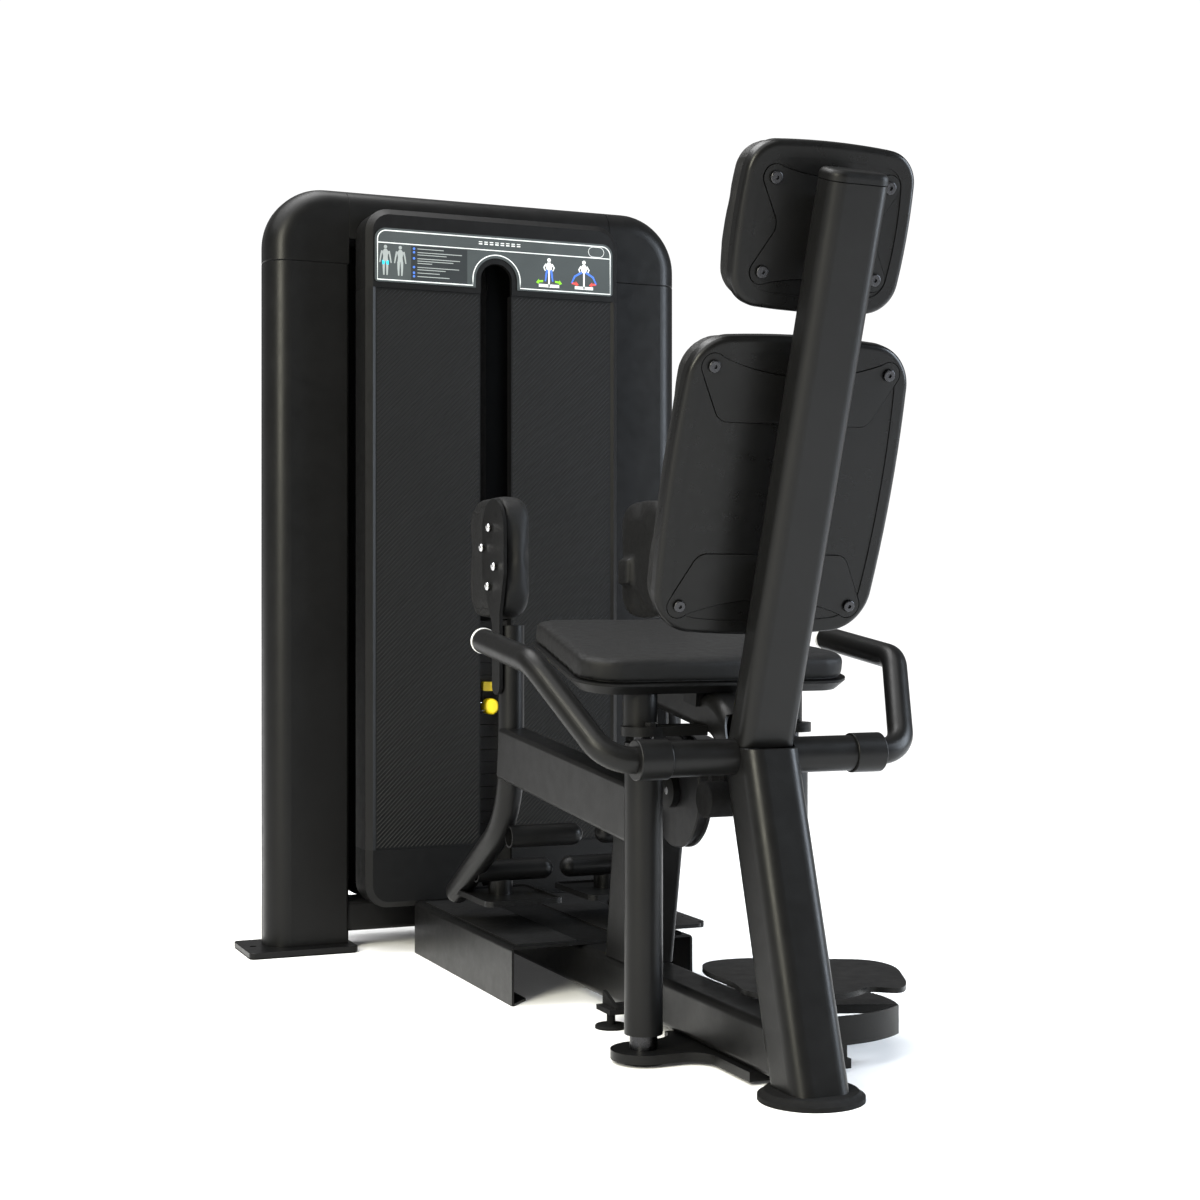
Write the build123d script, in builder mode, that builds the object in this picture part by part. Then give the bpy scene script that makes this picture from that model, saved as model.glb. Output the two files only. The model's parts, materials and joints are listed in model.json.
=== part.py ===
"""Hip abductor machine: weight tower, base beam, raked seat frame and two coupled leg arms.

Units are millimetres. +Z is up, +Y runs from the seat to the weight tower (the way the
sitter faces) and +X is the sitter's right. Z = 0 is the floor.
"""
from build123d import *
from math import acos, atan2, cos, degrees, hypot, radians, sin, tan
import os

os.makedirs("parts", exist_ok=True)

SIDES = (-1, 1)

# ---------------------------------------------------------------- driving dimensions
# layout along the machine
rear_foot_y = -698.2
foot_to_tower = 1360.0
foot_to_pivot = 291.0
foot_to_upright = 790.0
foot_to_column = 585.0
foot_to_seat = 250.0

# weight tower
tower_height = 1505.0
tower_width = 880.0
post_width = 160.0
post_depth = 105.0
post_radius = 44.0
post_wall = 4.0
corner_height = 150.0
corner_arch_radius = 120.0
corner_wall = 18.0
top_beam_height = 100.0
seam = 1.5
gap = 0.3
plate_thickness = 10.0
rubber_thickness = 3.0
foot_plate_width = 215.0
foot_plate_length = 153.0
foot_plate_outreach = 45.0
anchor_hole_radius = 6.5
cross_height = 60.0
cross_depth = 90.0
cross_bottom = 35.0
rear_cover_depth = 75.0

# front shroud of the tower
shroud_width = 533.0
shroud_depth = 80.0
shroud_bottom = 90.0
shroud_drop = 50.0
shroud_sheet = 4.0
shroud_bevel = 12.0
shroud_corner = 46.0
lower_bezel_height = 114.0
upper_bezel_height = 155.0
mesh_recess = 3.0
lip_thickness = 3.0
lip_depth = 24.0
slot_width = 66.0
slot_bottom = 107.0
slot_drop = 94.0
placard_width = 502.0
placard_height = 105.0
placard_drop = 39.0
placard_thickness = 2.0

# weight stack
plate_count_resting = 13
plate_count_lifted = 6
stack_plate_thickness = 24.0
stack_plate_gap = 1.0
stack_plate_width = 300.0
stack_plate_depth = 100.0
stack_bottom = 140.0
guide_rod_radius = 12.5
guide_rod_spacing = 210.0
selector_rod_radius = 10.0
head_plate_thickness = 34.0
clevis_height = 34.0
belt_width = 30.0
belt_thickness = 3.0
top_pulley_radius = 52.0
base_pulley_radius = 34.0
belt_low_run = 48.0
sheave_width = 36.0
axle_radius = 6.0

# base
beam_width = 80.0
beam_bottom = 20.0
beam_height = 76.0
beam_wall = 4.0
beam_radius = 12.0
platform_length = 547.0
platform_width = 340.0
platform_sheet = 4.0
mat_width = 112.0
mat_thickness = 2.5
lug_plate_thickness = 14.0
lug_radius = 50.0
lug_sweep = 38.0
lug_pad_radius = 34.0

# raked frame
lean = 19.0
leg_width = 90.0
leg_depth = 96.0
leg_radius = 26.0
leg_wall = 4.0
back_post_depth = 60.0
back_post_radius = 20.0
back_post_top = 1247.0
knuckle_z = 478.0
knuckle_offset = 152.0
rear_foot_radius = 75.0
rear_foot_height = 14.0
cross_tube_radius = 26.5
cross_tube_z = 464.0
collar_radius = 29.5
collar_inner = 150.0
collar_outer = 200.0
handle_radius = 19.5
handle_bend = 55.0
handle_turn_x = 240.0
handle_grip_x = 305.0
handle_reach = 128.0
handle_grip_z = 600.0
handle_end_z = 627.0
grip_length = 213.0
collar_lip = 6.0
support_width = 60.0
support_height = 62.0
support_radius = 18.0

# seat, back and head pads
seat_slope = 8.5
seat_rear_width = 480.0
seat_front_width = 340.0
seat_length = 405.0
seat_rear_top = 600.0
seat_shell_thickness = 18.0
seat_pad_thickness = 34.0
seat_rear_corner = 62.0
back_shell_thickness = 20.0
back_pad_thickness = 42.0
back_width = 362.0
back_length = 440.0
back_bolt_span = 276.0
head_width = 266.0
head_length = 232.0
head_bolt_span = 176.0
pad_stand_off = 22.0
bracket_plate = 6.0
bracket_groove = 1.2
back_lobe_radius = 18.0
back_plate_dip = 10.0
back_plate_depth = 77.0
back_plate_inset = 20.0
back_plate_rounding = 22.0
head_lobe_radius = 17.0
head_plate_waist = 16.0
head_plate_dip = 12.0
head_waist_rounding = 24.0
border_width = 22.0
border_depth = 1.5
bolt_radius = 4.0
bolt_head_radius = 9.0
back_along = 372.0
head_along = 742.0
back_bolt_rise = 347.0
head_bolt_rise = 127.0
head_shell_thickness = 20.0
head_pad_thickness = 44.0
pad_edge_radius = 18.0
seat_front_corner = 46.0

# leg arms
pivot_spacing = 247.0
pivot_tube_radius = 29.0
pivot_pin_radius = 15.0
pivot_clearance = 0.06
pivot_tube_bottom = 42.0
pivot_tube_top = 478.0
link_height = 89.0
link_width = 50.0
link_wall = 4.0
link_pivot_z = 370.0
link_upright_z = 427.0
upright_x = 150.0
upright_radius = 22.5
upright_top = 647.0
upright_wall = 3.0
peg_radius = 19.5
bend_z = 318.0
arm_bend = 170.0
# each peg's root and tip from the centre plane, then its place ahead of the rear foot and its height
PEGS = ((150.0, 32.5, 802.0, 280.0), (157.0, 27.5, 957.0, 200.0))
pad_thickness = 52.0
pad_width = 188.0
pad_height = 213.0
pad_bottom = 659.0
tray_z = 150.0
cam_radius = 170.0
cam_thickness = 14.0
cam_z = 50.0
cable_radius = 3.0
cable_track = 163.0
cable_angle = 60.0
guide_turn_radius = 16.0
cable_window_length = 70.0
clamp_length = 26.0
guard_radius = 176.0
guard_sheet = 3.0
guard_height = 43.0
guard_start = 262.0
guard_end = -52.0
lug_z = 488.0
lug_thickness = 14.0
upper_lug_radius = 34.0
stub_offset = 12.0
column_top = 345.0
column_length = 108.0
column_flare = 12.0
column_lean_run = 45.0
column_wall = 4.0
column_cap = 6.0
disc_radius = 90.0
disc_width = 24.0
disc_side_gap = 3.0
disc_arm_radius = 27.0
bumper_radius = 27.0
bumper_length = 58.0
flange_width = 40.0
step_z = 112.0
step_width = 110.0
step_length = 140.0
level_radius = 26.0
level_flange_z = 30.0
level_flange_thickness = 8.0
level_flange_length = 56.0
level_fin_thickness = 6.0
level_fin_high = 56.0
level_fin_low = 38.0
thigh_plate_thickness = 6.0
tray_x = 98.5
tray_width = 145.0
tray_length = 186.0
cam_sector_start = -20.0
cam_sector_end = 112.0
hub_top = 190.0
hub_radius = 46.0
wave_z = 104.0
wave_thickness = 8.0
# the cover plate's outline about the pivot, walked anticlockwise from its right side
WAVE_OUTLINE = (
    (183, 33), (165, 64), (126, 86), (60, 124), (0, 146), (-70, 141), (-108, 60), (-111, -34),
    (-118, -90), (-92, -128), (-48, -150), (-2, -160), (36, -149), (65, -135), (82, -147),
    (100, -157), (126, -136), (160, -70),
)

# ---------------------------------------------------------------- derived places
tower_front = rear_foot_y + foot_to_tower
tower_back = tower_front + post_depth
tower_mid = (tower_front + tower_back) / 2
post_inner = tower_width / 2 - post_width
post_x = tower_width / 2 - post_width / 2
corner_z = tower_height - corner_height
post_foot_z = rubber_thickness + plate_thickness
cross_top = cross_bottom + cross_height
beam_top = beam_bottom + beam_height
shroud_front = tower_front - shroud_depth
shroud_half = shroud_width / 2
lower_bezel_top = shroud_bottom + lower_bezel_height
shroud_top = tower_height - shroud_drop
slot_top = shroud_top - slot_drop
placard_top = shroud_top - placard_drop
placard_bottom = placard_top - placard_height
upper_bezel_bottom = shroud_top - upper_bezel_height
slot_half = slot_width / 2
pivot_y = rear_foot_y + foot_to_pivot
pivot_x = pivot_spacing / 2
upright_y = rear_foot_y + foot_to_upright
seat_y = rear_foot_y + foot_to_seat
lean_tan = tan(radians(lean))
top_beam_bottom = tower_height - top_beam_height
stack_y = tower_front + 25.0
belt_back_y = stack_y + 2 * top_pulley_radius + 1.5 * belt_thickness
top_pulley_y = stack_y + top_pulley_radius + belt_thickness / 2
top_pulley_z = top_beam_bottom - 18 - top_pulley_radius
base_pulley_y = belt_back_y - base_pulley_radius - belt_thickness
base_pulley_z = belt_low_run + base_pulley_radius + belt_thickness / 2
cheek_x = sheave_width / 2 + 2
cheek_thickness = 5.0
cheek_root = 34.0
cheek_tip = 22.0
disc_y = rear_foot_y + 420
disc_z = 390.0
bumper_y = rear_foot_y + 222
bumper_z = 396.0
level_x = 78.0
level_y = rear_foot_y + 520
flange_reach = level_x + 14 - beam_width / 2
plate_near = upright_y - 40
plate_far = upright_y + 70
pad_y = upright_y + 65
arm_foot_x = upright_x + 8
arm_foot_y = upright_y + 262
arm_foot_z = 152.0
pad_bolts_y = upright_y + 30
cam_mid_z = cam_z + cam_thickness / 2
column_y = rear_foot_y + foot_to_column
beam_end_y = base_pulley_y + base_pulley_radius + 24.0
platform_height = beam_top + gap + platform_sheet
# the drive cable leaves the cam along its tangent and turns into the beam round a fixed bush
cable_cos = cos(radians(cable_angle))
cable_sin = sin(radians(cable_angle))
cable_start = (pivot_x + cable_track * cable_cos, pivot_y + cable_track * cable_sin)
cable_corner_y = pivot_y + (pivot_x * cable_cos + cable_track) / cable_sin
bush_y = cable_corner_y + guide_turn_radius * (1 - cable_cos) / cable_sin
belt_clamp_y = bush_y + 90.0
wall_mid_x = (beam_width - beam_wall) / 2
cable_window_y = cable_corner_y - wall_mid_x * cable_cos / cable_sin


def facing(y):
    """An upright plane at this Y, with local x along +X and local y along +Z."""
    return Plane.XZ.offset(-y)


def save(builder, label):
    """Name a finished piece and write it."""
    builder.part.label = label
    export_step(builder.part, f"parts/{label}.step")


# ================================================================ weight tower
with BuildPart() as tower_posts:
    for side in SIDES:
        with BuildSketch(Plane.XY.offset(post_foot_z)) as section:
            with Locations((side * post_x, tower_mid)):
                Rectangle(post_width, post_depth)
            fillet(section.vertices().group_by(Axis.X)[-1 if side > 0 else 0], post_radius)
            fillet(section.vertices().group_by(Axis.X)[0 if side > 0 else -1], 6)
            offset(amount=-post_wall, mode=Mode.SUBTRACT)
        extrude(amount=corner_z - post_foot_z)
    for top in tower_posts.faces().group_by(Axis.Z)[-1]:
        chamfer(top.outer_wire().edges(), seam)
save(tower_posts, "tower_posts")

with BuildPart() as tower_corners:
    for side in SIDES:
        with BuildSketch(facing(tower_front)) as face:
            with Locations((side * post_x, corner_z + corner_height / 2)):
                Rectangle(post_width, corner_height)
            tip = face.vertices().sort_by(lambda v: side * v.X + v.Y)[-1]
            fillet(tip, corner_arch_radius)
        extrude(amount=-post_depth)
    rim = tower_corners.edges().filter_by(
        lambda e: abs(e.center().X) > post_inner + 1
        and e.center().Z > corner_z + 1
        and (e.center().Y < tower_front + 1 or e.center().Y > tower_back - 1)
    )
    fillet(rim, post_radius)
    for side in SIDES:
        with BuildSketch(facing(tower_front + corner_wall)) as pocket:
            with Locations((side * post_x, corner_z + (corner_height - corner_wall) / 2)):
                Rectangle(post_width - 2 * corner_wall, corner_height - corner_wall)
            tip = pocket.vertices().sort_by(lambda v: side * v.X + v.Y)[-1]
            fillet(tip, corner_arch_radius - corner_wall)
        extrude(amount=-(post_depth - 2 * corner_wall), mode=Mode.SUBTRACT)
    for base in tower_corners.faces().group_by(Axis.Z)[0]:
        chamfer(base.outer_wire().edges(), seam)
save(tower_corners, "tower_corners")

plate_y = tower_mid - 13
plate_x = tower_width / 2 + foot_plate_outreach - foot_plate_width / 2
anchor_x = tower_width / 2 + foot_plate_outreach / 2
with BuildPart() as foot_plates:
    with BuildSketch(Plane.XY.offset(rubber_thickness)):
        with Locations((-plate_x, plate_y), (plate_x, plate_y)):
            RectangleRounded(foot_plate_width, foot_plate_length, 12)
        with Locations((-anchor_x, plate_y), (anchor_x, plate_y)):
            Circle(anchor_hole_radius, mode=Mode.SUBTRACT)
    extrude(amount=plate_thickness)
    for top in foot_plates.faces().group_by(Axis.Z)[-1]:
        chamfer(top.outer_wire().edges(), 1)
save(foot_plates, "tower_foot_plates")

with BuildPart() as top_beam:
    with BuildSketch(Plane.YZ.offset(-post_inner)) as section:
        with Locations((tower_mid, tower_height - top_beam_height / 2)):
            Rectangle(post_depth, top_beam_height)
        fillet(section.vertices().group_by(Axis.Y)[-1], post_radius)
        fillet(section.vertices().group_by(Axis.Y)[0], 5)
        offset(amount=-post_wall, mode=Mode.SUBTRACT)
    extrude(amount=2 * post_inner)
    for end in (top_beam.faces().sort_by(Axis.X)[0], top_beam.faces().sort_by(Axis.X)[-1]):
        chamfer(end.outer_wire().edges(), seam)
    # two cheeks hanging from the beam carry the top pulley's axle
    for start in (-cheek_x - cheek_thickness, cheek_x):
        with BuildSketch(Plane.YZ.offset(start)):
            Polygon(
                (top_pulley_y - cheek_root, top_beam_bottom),
                (top_pulley_y - cheek_tip, top_pulley_z),
                (top_pulley_y - cheek_tip, top_pulley_z - 14),
                (top_pulley_y + cheek_tip, top_pulley_z - 14),
                (top_pulley_y + cheek_tip, top_pulley_z),
                (top_pulley_y + cheek_root, top_beam_bottom),
                align=None,
            )
            with Locations((top_pulley_y, top_pulley_z)):
                Circle(axle_radius, mode=Mode.SUBTRACT)
        extrude(amount=cheek_thickness)
save(top_beam, "tower_top_beam")

with BuildPart() as crossmember:
    for side in SIDES:
        start = min(side * beam_width / 2, side * post_inner)
        with BuildSketch(Plane.YZ.offset(start)):
            with Locations((tower_mid, cross_bottom + cross_height / 2)):
                RectangleRounded(cross_depth, cross_height, 8)
                RectangleRounded(cross_depth - 8, cross_height - 8, 4, mode=Mode.SUBTRACT)
        extrude(amount=post_inner - beam_width / 2)
save(crossmember, "tower_crossmember")

# ---------------------------------------------------------------- front shroud
with BuildPart() as upper_bezel:
    with BuildSketch(facing(shroud_front)) as face:
        with Locations((0, shroud_top - upper_bezel_height / 2)):
            Rectangle(shroud_width, upper_bezel_height)
        fillet(face.vertices().group_by(Axis.Y)[-1], shroud_corner)
    extrude(amount=-shroud_depth)
    rim = upper_bezel.faces().sort_by(Axis.Y)[0].edges().filter_by(
        lambda e: e.center().Z > upper_bezel_bottom + 1
    )
    chamfer(rim, shroud_bevel)
    with BuildSketch(facing(shroud_front + shroud_bevel)) as hollow:
        with Locations((0, (upper_bezel_bottom + shroud_top) / 2 - shroud_sheet)):
            Rectangle(shroud_width - 2 * shroud_sheet, upper_bezel_height)
        fillet(hollow.vertices().group_by(Axis.Y)[-1], shroud_corner - shroud_sheet)
    extrude(amount=-(shroud_depth - shroud_bevel), mode=Mode.SUBTRACT)
    with BuildSketch(facing(shroud_front - 1)):
        with Locations((0, slot_top - slot_half)):
            Circle(slot_half)
        with Locations((0, (upper_bezel_bottom + slot_top - slot_half) / 2 - 1)):
            Rectangle(slot_width, slot_top - slot_half - upper_bezel_bottom + 2)
    extrude(amount=-(shroud_bevel + 2), mode=Mode.SUBTRACT)
save(upper_bezel, "shroud_upper_bezel")

with BuildPart() as lower_bezel:
    with BuildSketch(facing(shroud_front)) as face:
        with Locations((0, shroud_bottom + lower_bezel_height / 2)):
            Rectangle(shroud_width, lower_bezel_height)
        fillet(face.vertices().group_by(Axis.Y)[0], shroud_corner)
    extrude(amount=-shroud_depth)
    rim = lower_bezel.faces().sort_by(Axis.Y)[0].edges().filter_by(
        lambda e: e.center().Z < lower_bezel_top - 1
    )
    chamfer(rim, shroud_bevel)
    with BuildSketch(facing(shroud_front + shroud_bevel)) as hollow:
        with Locations((0, (shroud_bottom + lower_bezel_top) / 2 + shroud_sheet)):
            Rectangle(shroud_width - 2 * shroud_sheet, lower_bezel_height)
        fillet(hollow.vertices().group_by(Axis.Y)[0], shroud_corner - shroud_sheet)
    extrude(amount=-(shroud_depth - shroud_bevel), mode=Mode.SUBTRACT)
    with BuildSketch(facing(shroud_front - 1)):
        with Locations((0, slot_bottom + slot_half)):
            Circle(slot_half)
        with Locations((0, (slot_bottom + slot_half + lower_bezel_top) / 2 + 1)):
            Rectangle(slot_width, lower_bezel_top - slot_bottom - slot_half + 2)
    extrude(amount=-(shroud_bevel + 2), mode=Mode.SUBTRACT)
    # the base beam passes under the cover's back edge
    with BuildSketch(facing(shroud_front - 1)):
        with Locations((0, beam_top / 2)):
            Rectangle(beam_width + 2 * gap, beam_top + 2 * gap)
    extrude(amount=-(shroud_depth + 2), mode=Mode.SUBTRACT)
save(lower_bezel, "shroud_lower_bezel")

mesh_height = upper_bezel_bottom - lower_bezel_top
mesh_outer = shroud_half - shroud_bevel
mesh_edge = mesh_outer - 6
with BuildPart() as shroud_sides:
    for side in SIDES:
        with BuildSketch(Plane.XY.offset(lower_bezel_top)):
            Polygon(
                (side * shroud_half, tower_front),
                (side * shroud_half, shroud_front + shroud_bevel),
                (side * mesh_outer, shroud_front),
                (side * mesh_edge, shroud_front + mesh_recess),
                (side * mesh_edge, shroud_front + mesh_recess + shroud_sheet),
                (side * (shroud_half - shroud_sheet), shroud_front + shroud_bevel + 6),
                (side * (shroud_half - shroud_sheet), tower_front),
                align=None,
            )
        extrude(amount=mesh_height)
save(shroud_sides, "shroud_sides")

with BuildPart() as mesh_panels:
    panel_width = mesh_edge - slot_half
    for side in SIDES:
        with BuildSketch(Plane.XY.offset(lower_bezel_top)):
            with Locations((side * (slot_half + panel_width / 2),
                            shroud_front + mesh_recess + shroud_sheet / 2)):
                Rectangle(panel_width, shroud_sheet)
            # the folded lip along the slot
            with Locations((side * (slot_half + lip_thickness / 2),
                            shroud_front + mesh_recess + lip_depth / 2)):
                Rectangle(lip_thickness, lip_depth)
        extrude(amount=mesh_height)
save(mesh_panels, "shroud_mesh_panels")

with BuildPart() as placard:
    arch_margin = 11.0
    with BuildSketch(facing(shroud_front)) as face:
        with Locations((0, (placard_bottom + placard_top) / 2)):
            Rectangle(placard_width, placard_top - placard_bottom)
        fillet(face.vertices().group_by(Axis.Y)[-1], 22)
        fillet(face.vertices().group_by(Axis.Y)[0], 6)
        with Locations((0, slot_top - slot_half)):
            Circle(slot_half + arch_margin, mode=Mode.SUBTRACT)
        with Locations((0, placard_bottom)):
            Rectangle(2 * (slot_half + arch_margin), 2 * (slot_top - slot_half - placard_bottom),
                      mode=Mode.SUBTRACT)
    extrude(amount=placard_thickness)
save(placard, "placard")

with BuildPart() as rear_cover:
    with BuildSketch(facing(tower_back + gap)) as face:
        with Locations((0, (shroud_bottom + shroud_top) / 2)):
            Rectangle(shroud_width, shroud_top - shroud_bottom)
        fillet(face.vertices(), shroud_corner)
    extrude(amount=-rear_cover_depth)
    chamfer(rear_cover.faces().sort_by(Axis.Y)[-1].edges(), shroud_bevel)
    with BuildSketch(facing(tower_back + gap)) as hollow:
        with Locations((0, (shroud_bottom + shroud_top) / 2)):
            Rectangle(shroud_width - 8, shroud_top - shroud_bottom - 8)
        fillet(hollow.vertices(), shroud_corner - 4)
    extrude(amount=-(rear_cover_depth - shroud_bevel), mode=Mode.SUBTRACT)
    # a deeper, narrower pocket thins the back wall behind the bevel
    with BuildSketch(facing(tower_back + gap)) as pocket:
        with Locations((0, (shroud_bottom + shroud_top) / 2)):
            Rectangle(shroud_width - 2 * shroud_bevel - 8, shroud_top - shroud_bottom - 2 * shroud_bevel - 8)
        fillet(pocket.vertices(), shroud_corner - shroud_bevel - 4)
    extrude(amount=-(rear_cover_depth - shroud_sheet), mode=Mode.SUBTRACT)
    # the end of the base beam passes through its lower edge
    with BuildSketch(facing(tower_back)):
        with Locations((0, beam_top / 2)):
            Rectangle(beam_width + 2 * gap, beam_top + 2 * gap)
    extrude(amount=-(rear_cover_depth - shroud_bevel), mode=Mode.SUBTRACT)
save(rear_cover, "tower_rear_cover")

# ---------------------------------------------------------------- weight stack
stack_pitch = stack_plate_thickness + stack_plate_gap
split_z = stack_bottom + plate_count_resting * stack_pitch
lifted_top = split_z + plate_count_lifted * stack_pitch
pin_z = split_z + stack_plate_thickness / 2
rod_x = guide_rod_spacing / 2


def plate_pile(bottom_z, count, thickness, bore):
    """Weight plates in a pile, each with guide bores and, if bore is given, a selector bore."""
    with BuildPart() as pile:
        for index in range(count):
            level = bottom_z + index * (thickness + stack_plate_gap)
            with BuildSketch(Plane.XY.offset(level)):
                with Locations((0, stack_y)):
                    RectangleRounded(stack_plate_width, stack_plate_depth, 8)
                with Locations((-rod_x, stack_y), (rod_x, stack_y)):
                    Circle(guide_rod_radius + 1.5, mode=Mode.SUBTRACT)
                if bore:
                    with Locations((0, stack_y)):
                        Circle(bore, mode=Mode.SUBTRACT)
            extrude(amount=thickness)
    return pile


selector_bore = selector_rod_radius + 2
save(plate_pile(stack_bottom, plate_count_resting, stack_plate_thickness, selector_bore),
     "stack_resting_plates")

with BuildPart() as lifted_plates:
    add(plate_pile(split_z, plate_count_lifted, stack_plate_thickness, selector_bore).part)
    # the pin's hole in the lowest lifted plate
    with BuildSketch(facing(stack_y - stack_plate_depth / 2 - 1)):
        with Locations((0, pin_z)):
            Circle(5.5)
    extrude(amount=-(stack_plate_depth / 2 + 1), mode=Mode.SUBTRACT)
    # the head plate with its belt clevis
    add(plate_pile(lifted_top, 1, head_plate_thickness, 0).part)
    with BuildSketch(Plane.XY.offset(lifted_top + head_plate_thickness)):
        with Locations((0, stack_y)):
            Rectangle(belt_width + 16, 26)
    extrude(amount=clevis_height)
save(lifted_plates, "stack_lifted_plates")

with BuildPart() as selector_rod:
    with BuildSketch(Plane.XY.offset(stack_bottom + 6)):
        with Locations((0, stack_y)):
            Circle(selector_rod_radius)
    extrude(amount=lifted_top - stack_bottom - 6)
    for index in range(plate_count_resting + plate_count_lifted):
        level = stack_bottom + index * stack_pitch + stack_plate_thickness / 2
        with BuildSketch(facing(stack_y - selector_rod_radius - 1)):
            with Locations((0, level)):
                Circle(5.5)
        extrude(amount=-2 * (selector_rod_radius + 1), mode=Mode.SUBTRACT)
save(selector_rod, "selector_rod")

with BuildPart() as selector_pin:
    pin_tip = stack_y + selector_rod_radius - 2
    knob_y = stack_y - stack_plate_depth / 2 - 6
    with BuildSketch(facing(knob_y)):
        with Locations((0, pin_z)):
            Circle(5)
    extrude(amount=-(pin_tip - knob_y))
    with BuildSketch(facing(knob_y)):
        with Locations((0, pin_z)):
            Circle(16)
    extrude(amount=26)
    fillet(selector_pin.faces().sort_by(Axis.Y)[0].edges(), 7)
save(selector_pin, "selector_pin")

with BuildPart() as pin_tab:
    with BuildSketch(facing(stack_y - stack_plate_depth / 2 - gap)):
        with Locations((0, pin_z + 40)):
            RectangleRounded(26, 18, 3)
    extrude(amount=14)
save(pin_tab, "selector_tether_tab")

guide_bottom = cross_top
with BuildPart() as guide_rods:
    with BuildSketch(Plane.XY.offset(guide_bottom)):
        with Locations((-rod_x, stack_y), (rod_x, stack_y)):
            Circle(guide_rod_radius)
    extrude(amount=top_beam_bottom - guide_bottom)
save(guide_rods, "stack_guide_rods")

with BuildPart() as cushions:
    with BuildSketch(Plane.XY.offset(guide_bottom)):
        with Locations((-rod_x, stack_y), (rod_x, stack_y)):
            Circle(25)
            Circle(guide_rod_radius + gap, mode=Mode.SUBTRACT)
    extrude(amount=stack_bottom - guide_bottom - gap)
save(cushions, "stack_cushions")

# ---------------------------------------------------------------- stack belt and pulleys
def sheave(centre_y, centre_z, radius):
    """A flanged pulley turning about X, bored for its axle."""
    with BuildPart() as wheel:
        with BuildSketch(Plane.YZ.offset(-sheave_width / 2)):
            with Locations((centre_y, centre_z)):
                Circle(radius - gap)
        extrude(amount=sheave_width)
        for start in (-sheave_width / 2, sheave_width / 2 - 2):
            with BuildSketch(Plane.YZ.offset(start)):
                with Locations((centre_y, centre_z)):
                    Circle(radius + belt_thickness + 2)
            extrude(amount=2)
        with BuildSketch(Plane.YZ.offset(-sheave_width)):
            with Locations((centre_y, centre_z)):
                Circle(axle_radius + 0.08)
        extrude(amount=2 * sheave_width, mode=Mode.SUBTRACT)
    return wheel


save(sheave(top_pulley_y, top_pulley_z, top_pulley_radius), "belt_top_pulley")
save(sheave(base_pulley_y, base_pulley_z, base_pulley_radius), "belt_base_pulley")

belt_anchor_z = lifted_top + head_plate_thickness + clevis_height
with BuildPart() as belt_lift_run:
    with BuildSketch(Plane.XY.offset(belt_anchor_z)):
        with Locations((0, stack_y)):
            Rectangle(belt_width, belt_thickness)
    extrude(amount=top_pulley_z - belt_anchor_z)
save(belt_lift_run, "belt_lift_run")


def cable_route():
    """The cable's line from the cam, round the bush and along the beam to the belt clamp."""
    with BuildLine(mode=Mode.PRIVATE) as route:
        FilletPolyline(
            (*cable_start, cam_mid_z),
            (0, cable_corner_y, cam_mid_z),
            (0, belt_clamp_y, cam_mid_z),
            radius=guide_turn_radius,
        )
    return route.line


with BuildPart() as belt_drive_run:
    with BuildSketch(Plane.YZ.offset(-belt_width / 2)):
        # over the top pulley
        with Locations((top_pulley_y, top_pulley_z)):
            Circle(top_pulley_radius + belt_thickness)
            Circle(top_pulley_radius, mode=Mode.SUBTRACT)
        with Locations((top_pulley_y, top_pulley_z - 2 * top_pulley_radius)):
            Rectangle(4 * top_pulley_radius, 4 * top_pulley_radius, mode=Mode.SUBTRACT)
        # round the back of the base pulley
        with Locations((base_pulley_y, base_pulley_z)):
            Circle(base_pulley_radius + belt_thickness)
            Circle(base_pulley_radius, mode=Mode.SUBTRACT)
        with Locations((base_pulley_y, base_pulley_z + 2 * base_pulley_radius)):
            Rectangle(4 * base_pulley_radius, 4 * base_pulley_radius, mode=Mode.SUBTRACT)
        with Locations((base_pulley_y - 2 * base_pulley_radius, base_pulley_z)):
            Rectangle(4 * base_pulley_radius, 4 * base_pulley_radius, mode=Mode.SUBTRACT)
        with Locations((belt_back_y - belt_thickness / 2, (top_pulley_z + base_pulley_z) / 2)):
            Rectangle(belt_thickness, top_pulley_z - base_pulley_z)
        with Locations(((belt_clamp_y + base_pulley_y) / 2, belt_low_run)):
            Rectangle(base_pulley_y - belt_clamp_y, belt_thickness)
    extrude(amount=belt_width)
    # the clamp that joins belt to cable
    with Locations((0, belt_clamp_y, (belt_low_run + cam_mid_z) / 2)):
        Box(belt_width, clamp_length, cam_mid_z - belt_low_run + 12)
    cable_line = cable_route()
    with BuildSketch(Plane(origin=cable_line @ 0, z_dir=cable_line % 0)):
        Circle(cable_radius)
    sweep(path=cable_line)
save(belt_drive_run, "belt_drive_run")

# ================================================================ raked frame
knuckle_y = rear_foot_y + knuckle_offset
leg_lean = degrees(atan2(knuckle_offset, knuckle_z))


def leaned_tube(base_y, base_z, angle, width, depth, radius, wall, length):
    """A rounded rectangular tube whose axis leans from vertical by angle, towards -Y."""
    axis = (0, -sin(radians(angle)), cos(radians(angle)))
    with BuildPart() as tube:
        with BuildSketch(Plane(origin=(0, base_y, base_z), x_dir=(1, 0, 0), z_dir=axis)):
            RectangleRounded(width, depth, radius)
            if wall:
                RectangleRounded(width - 2 * wall, depth - 2 * wall, radius - wall,
                                 mode=Mode.SUBTRACT)
        extrude(amount=length)
    return tube


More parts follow.
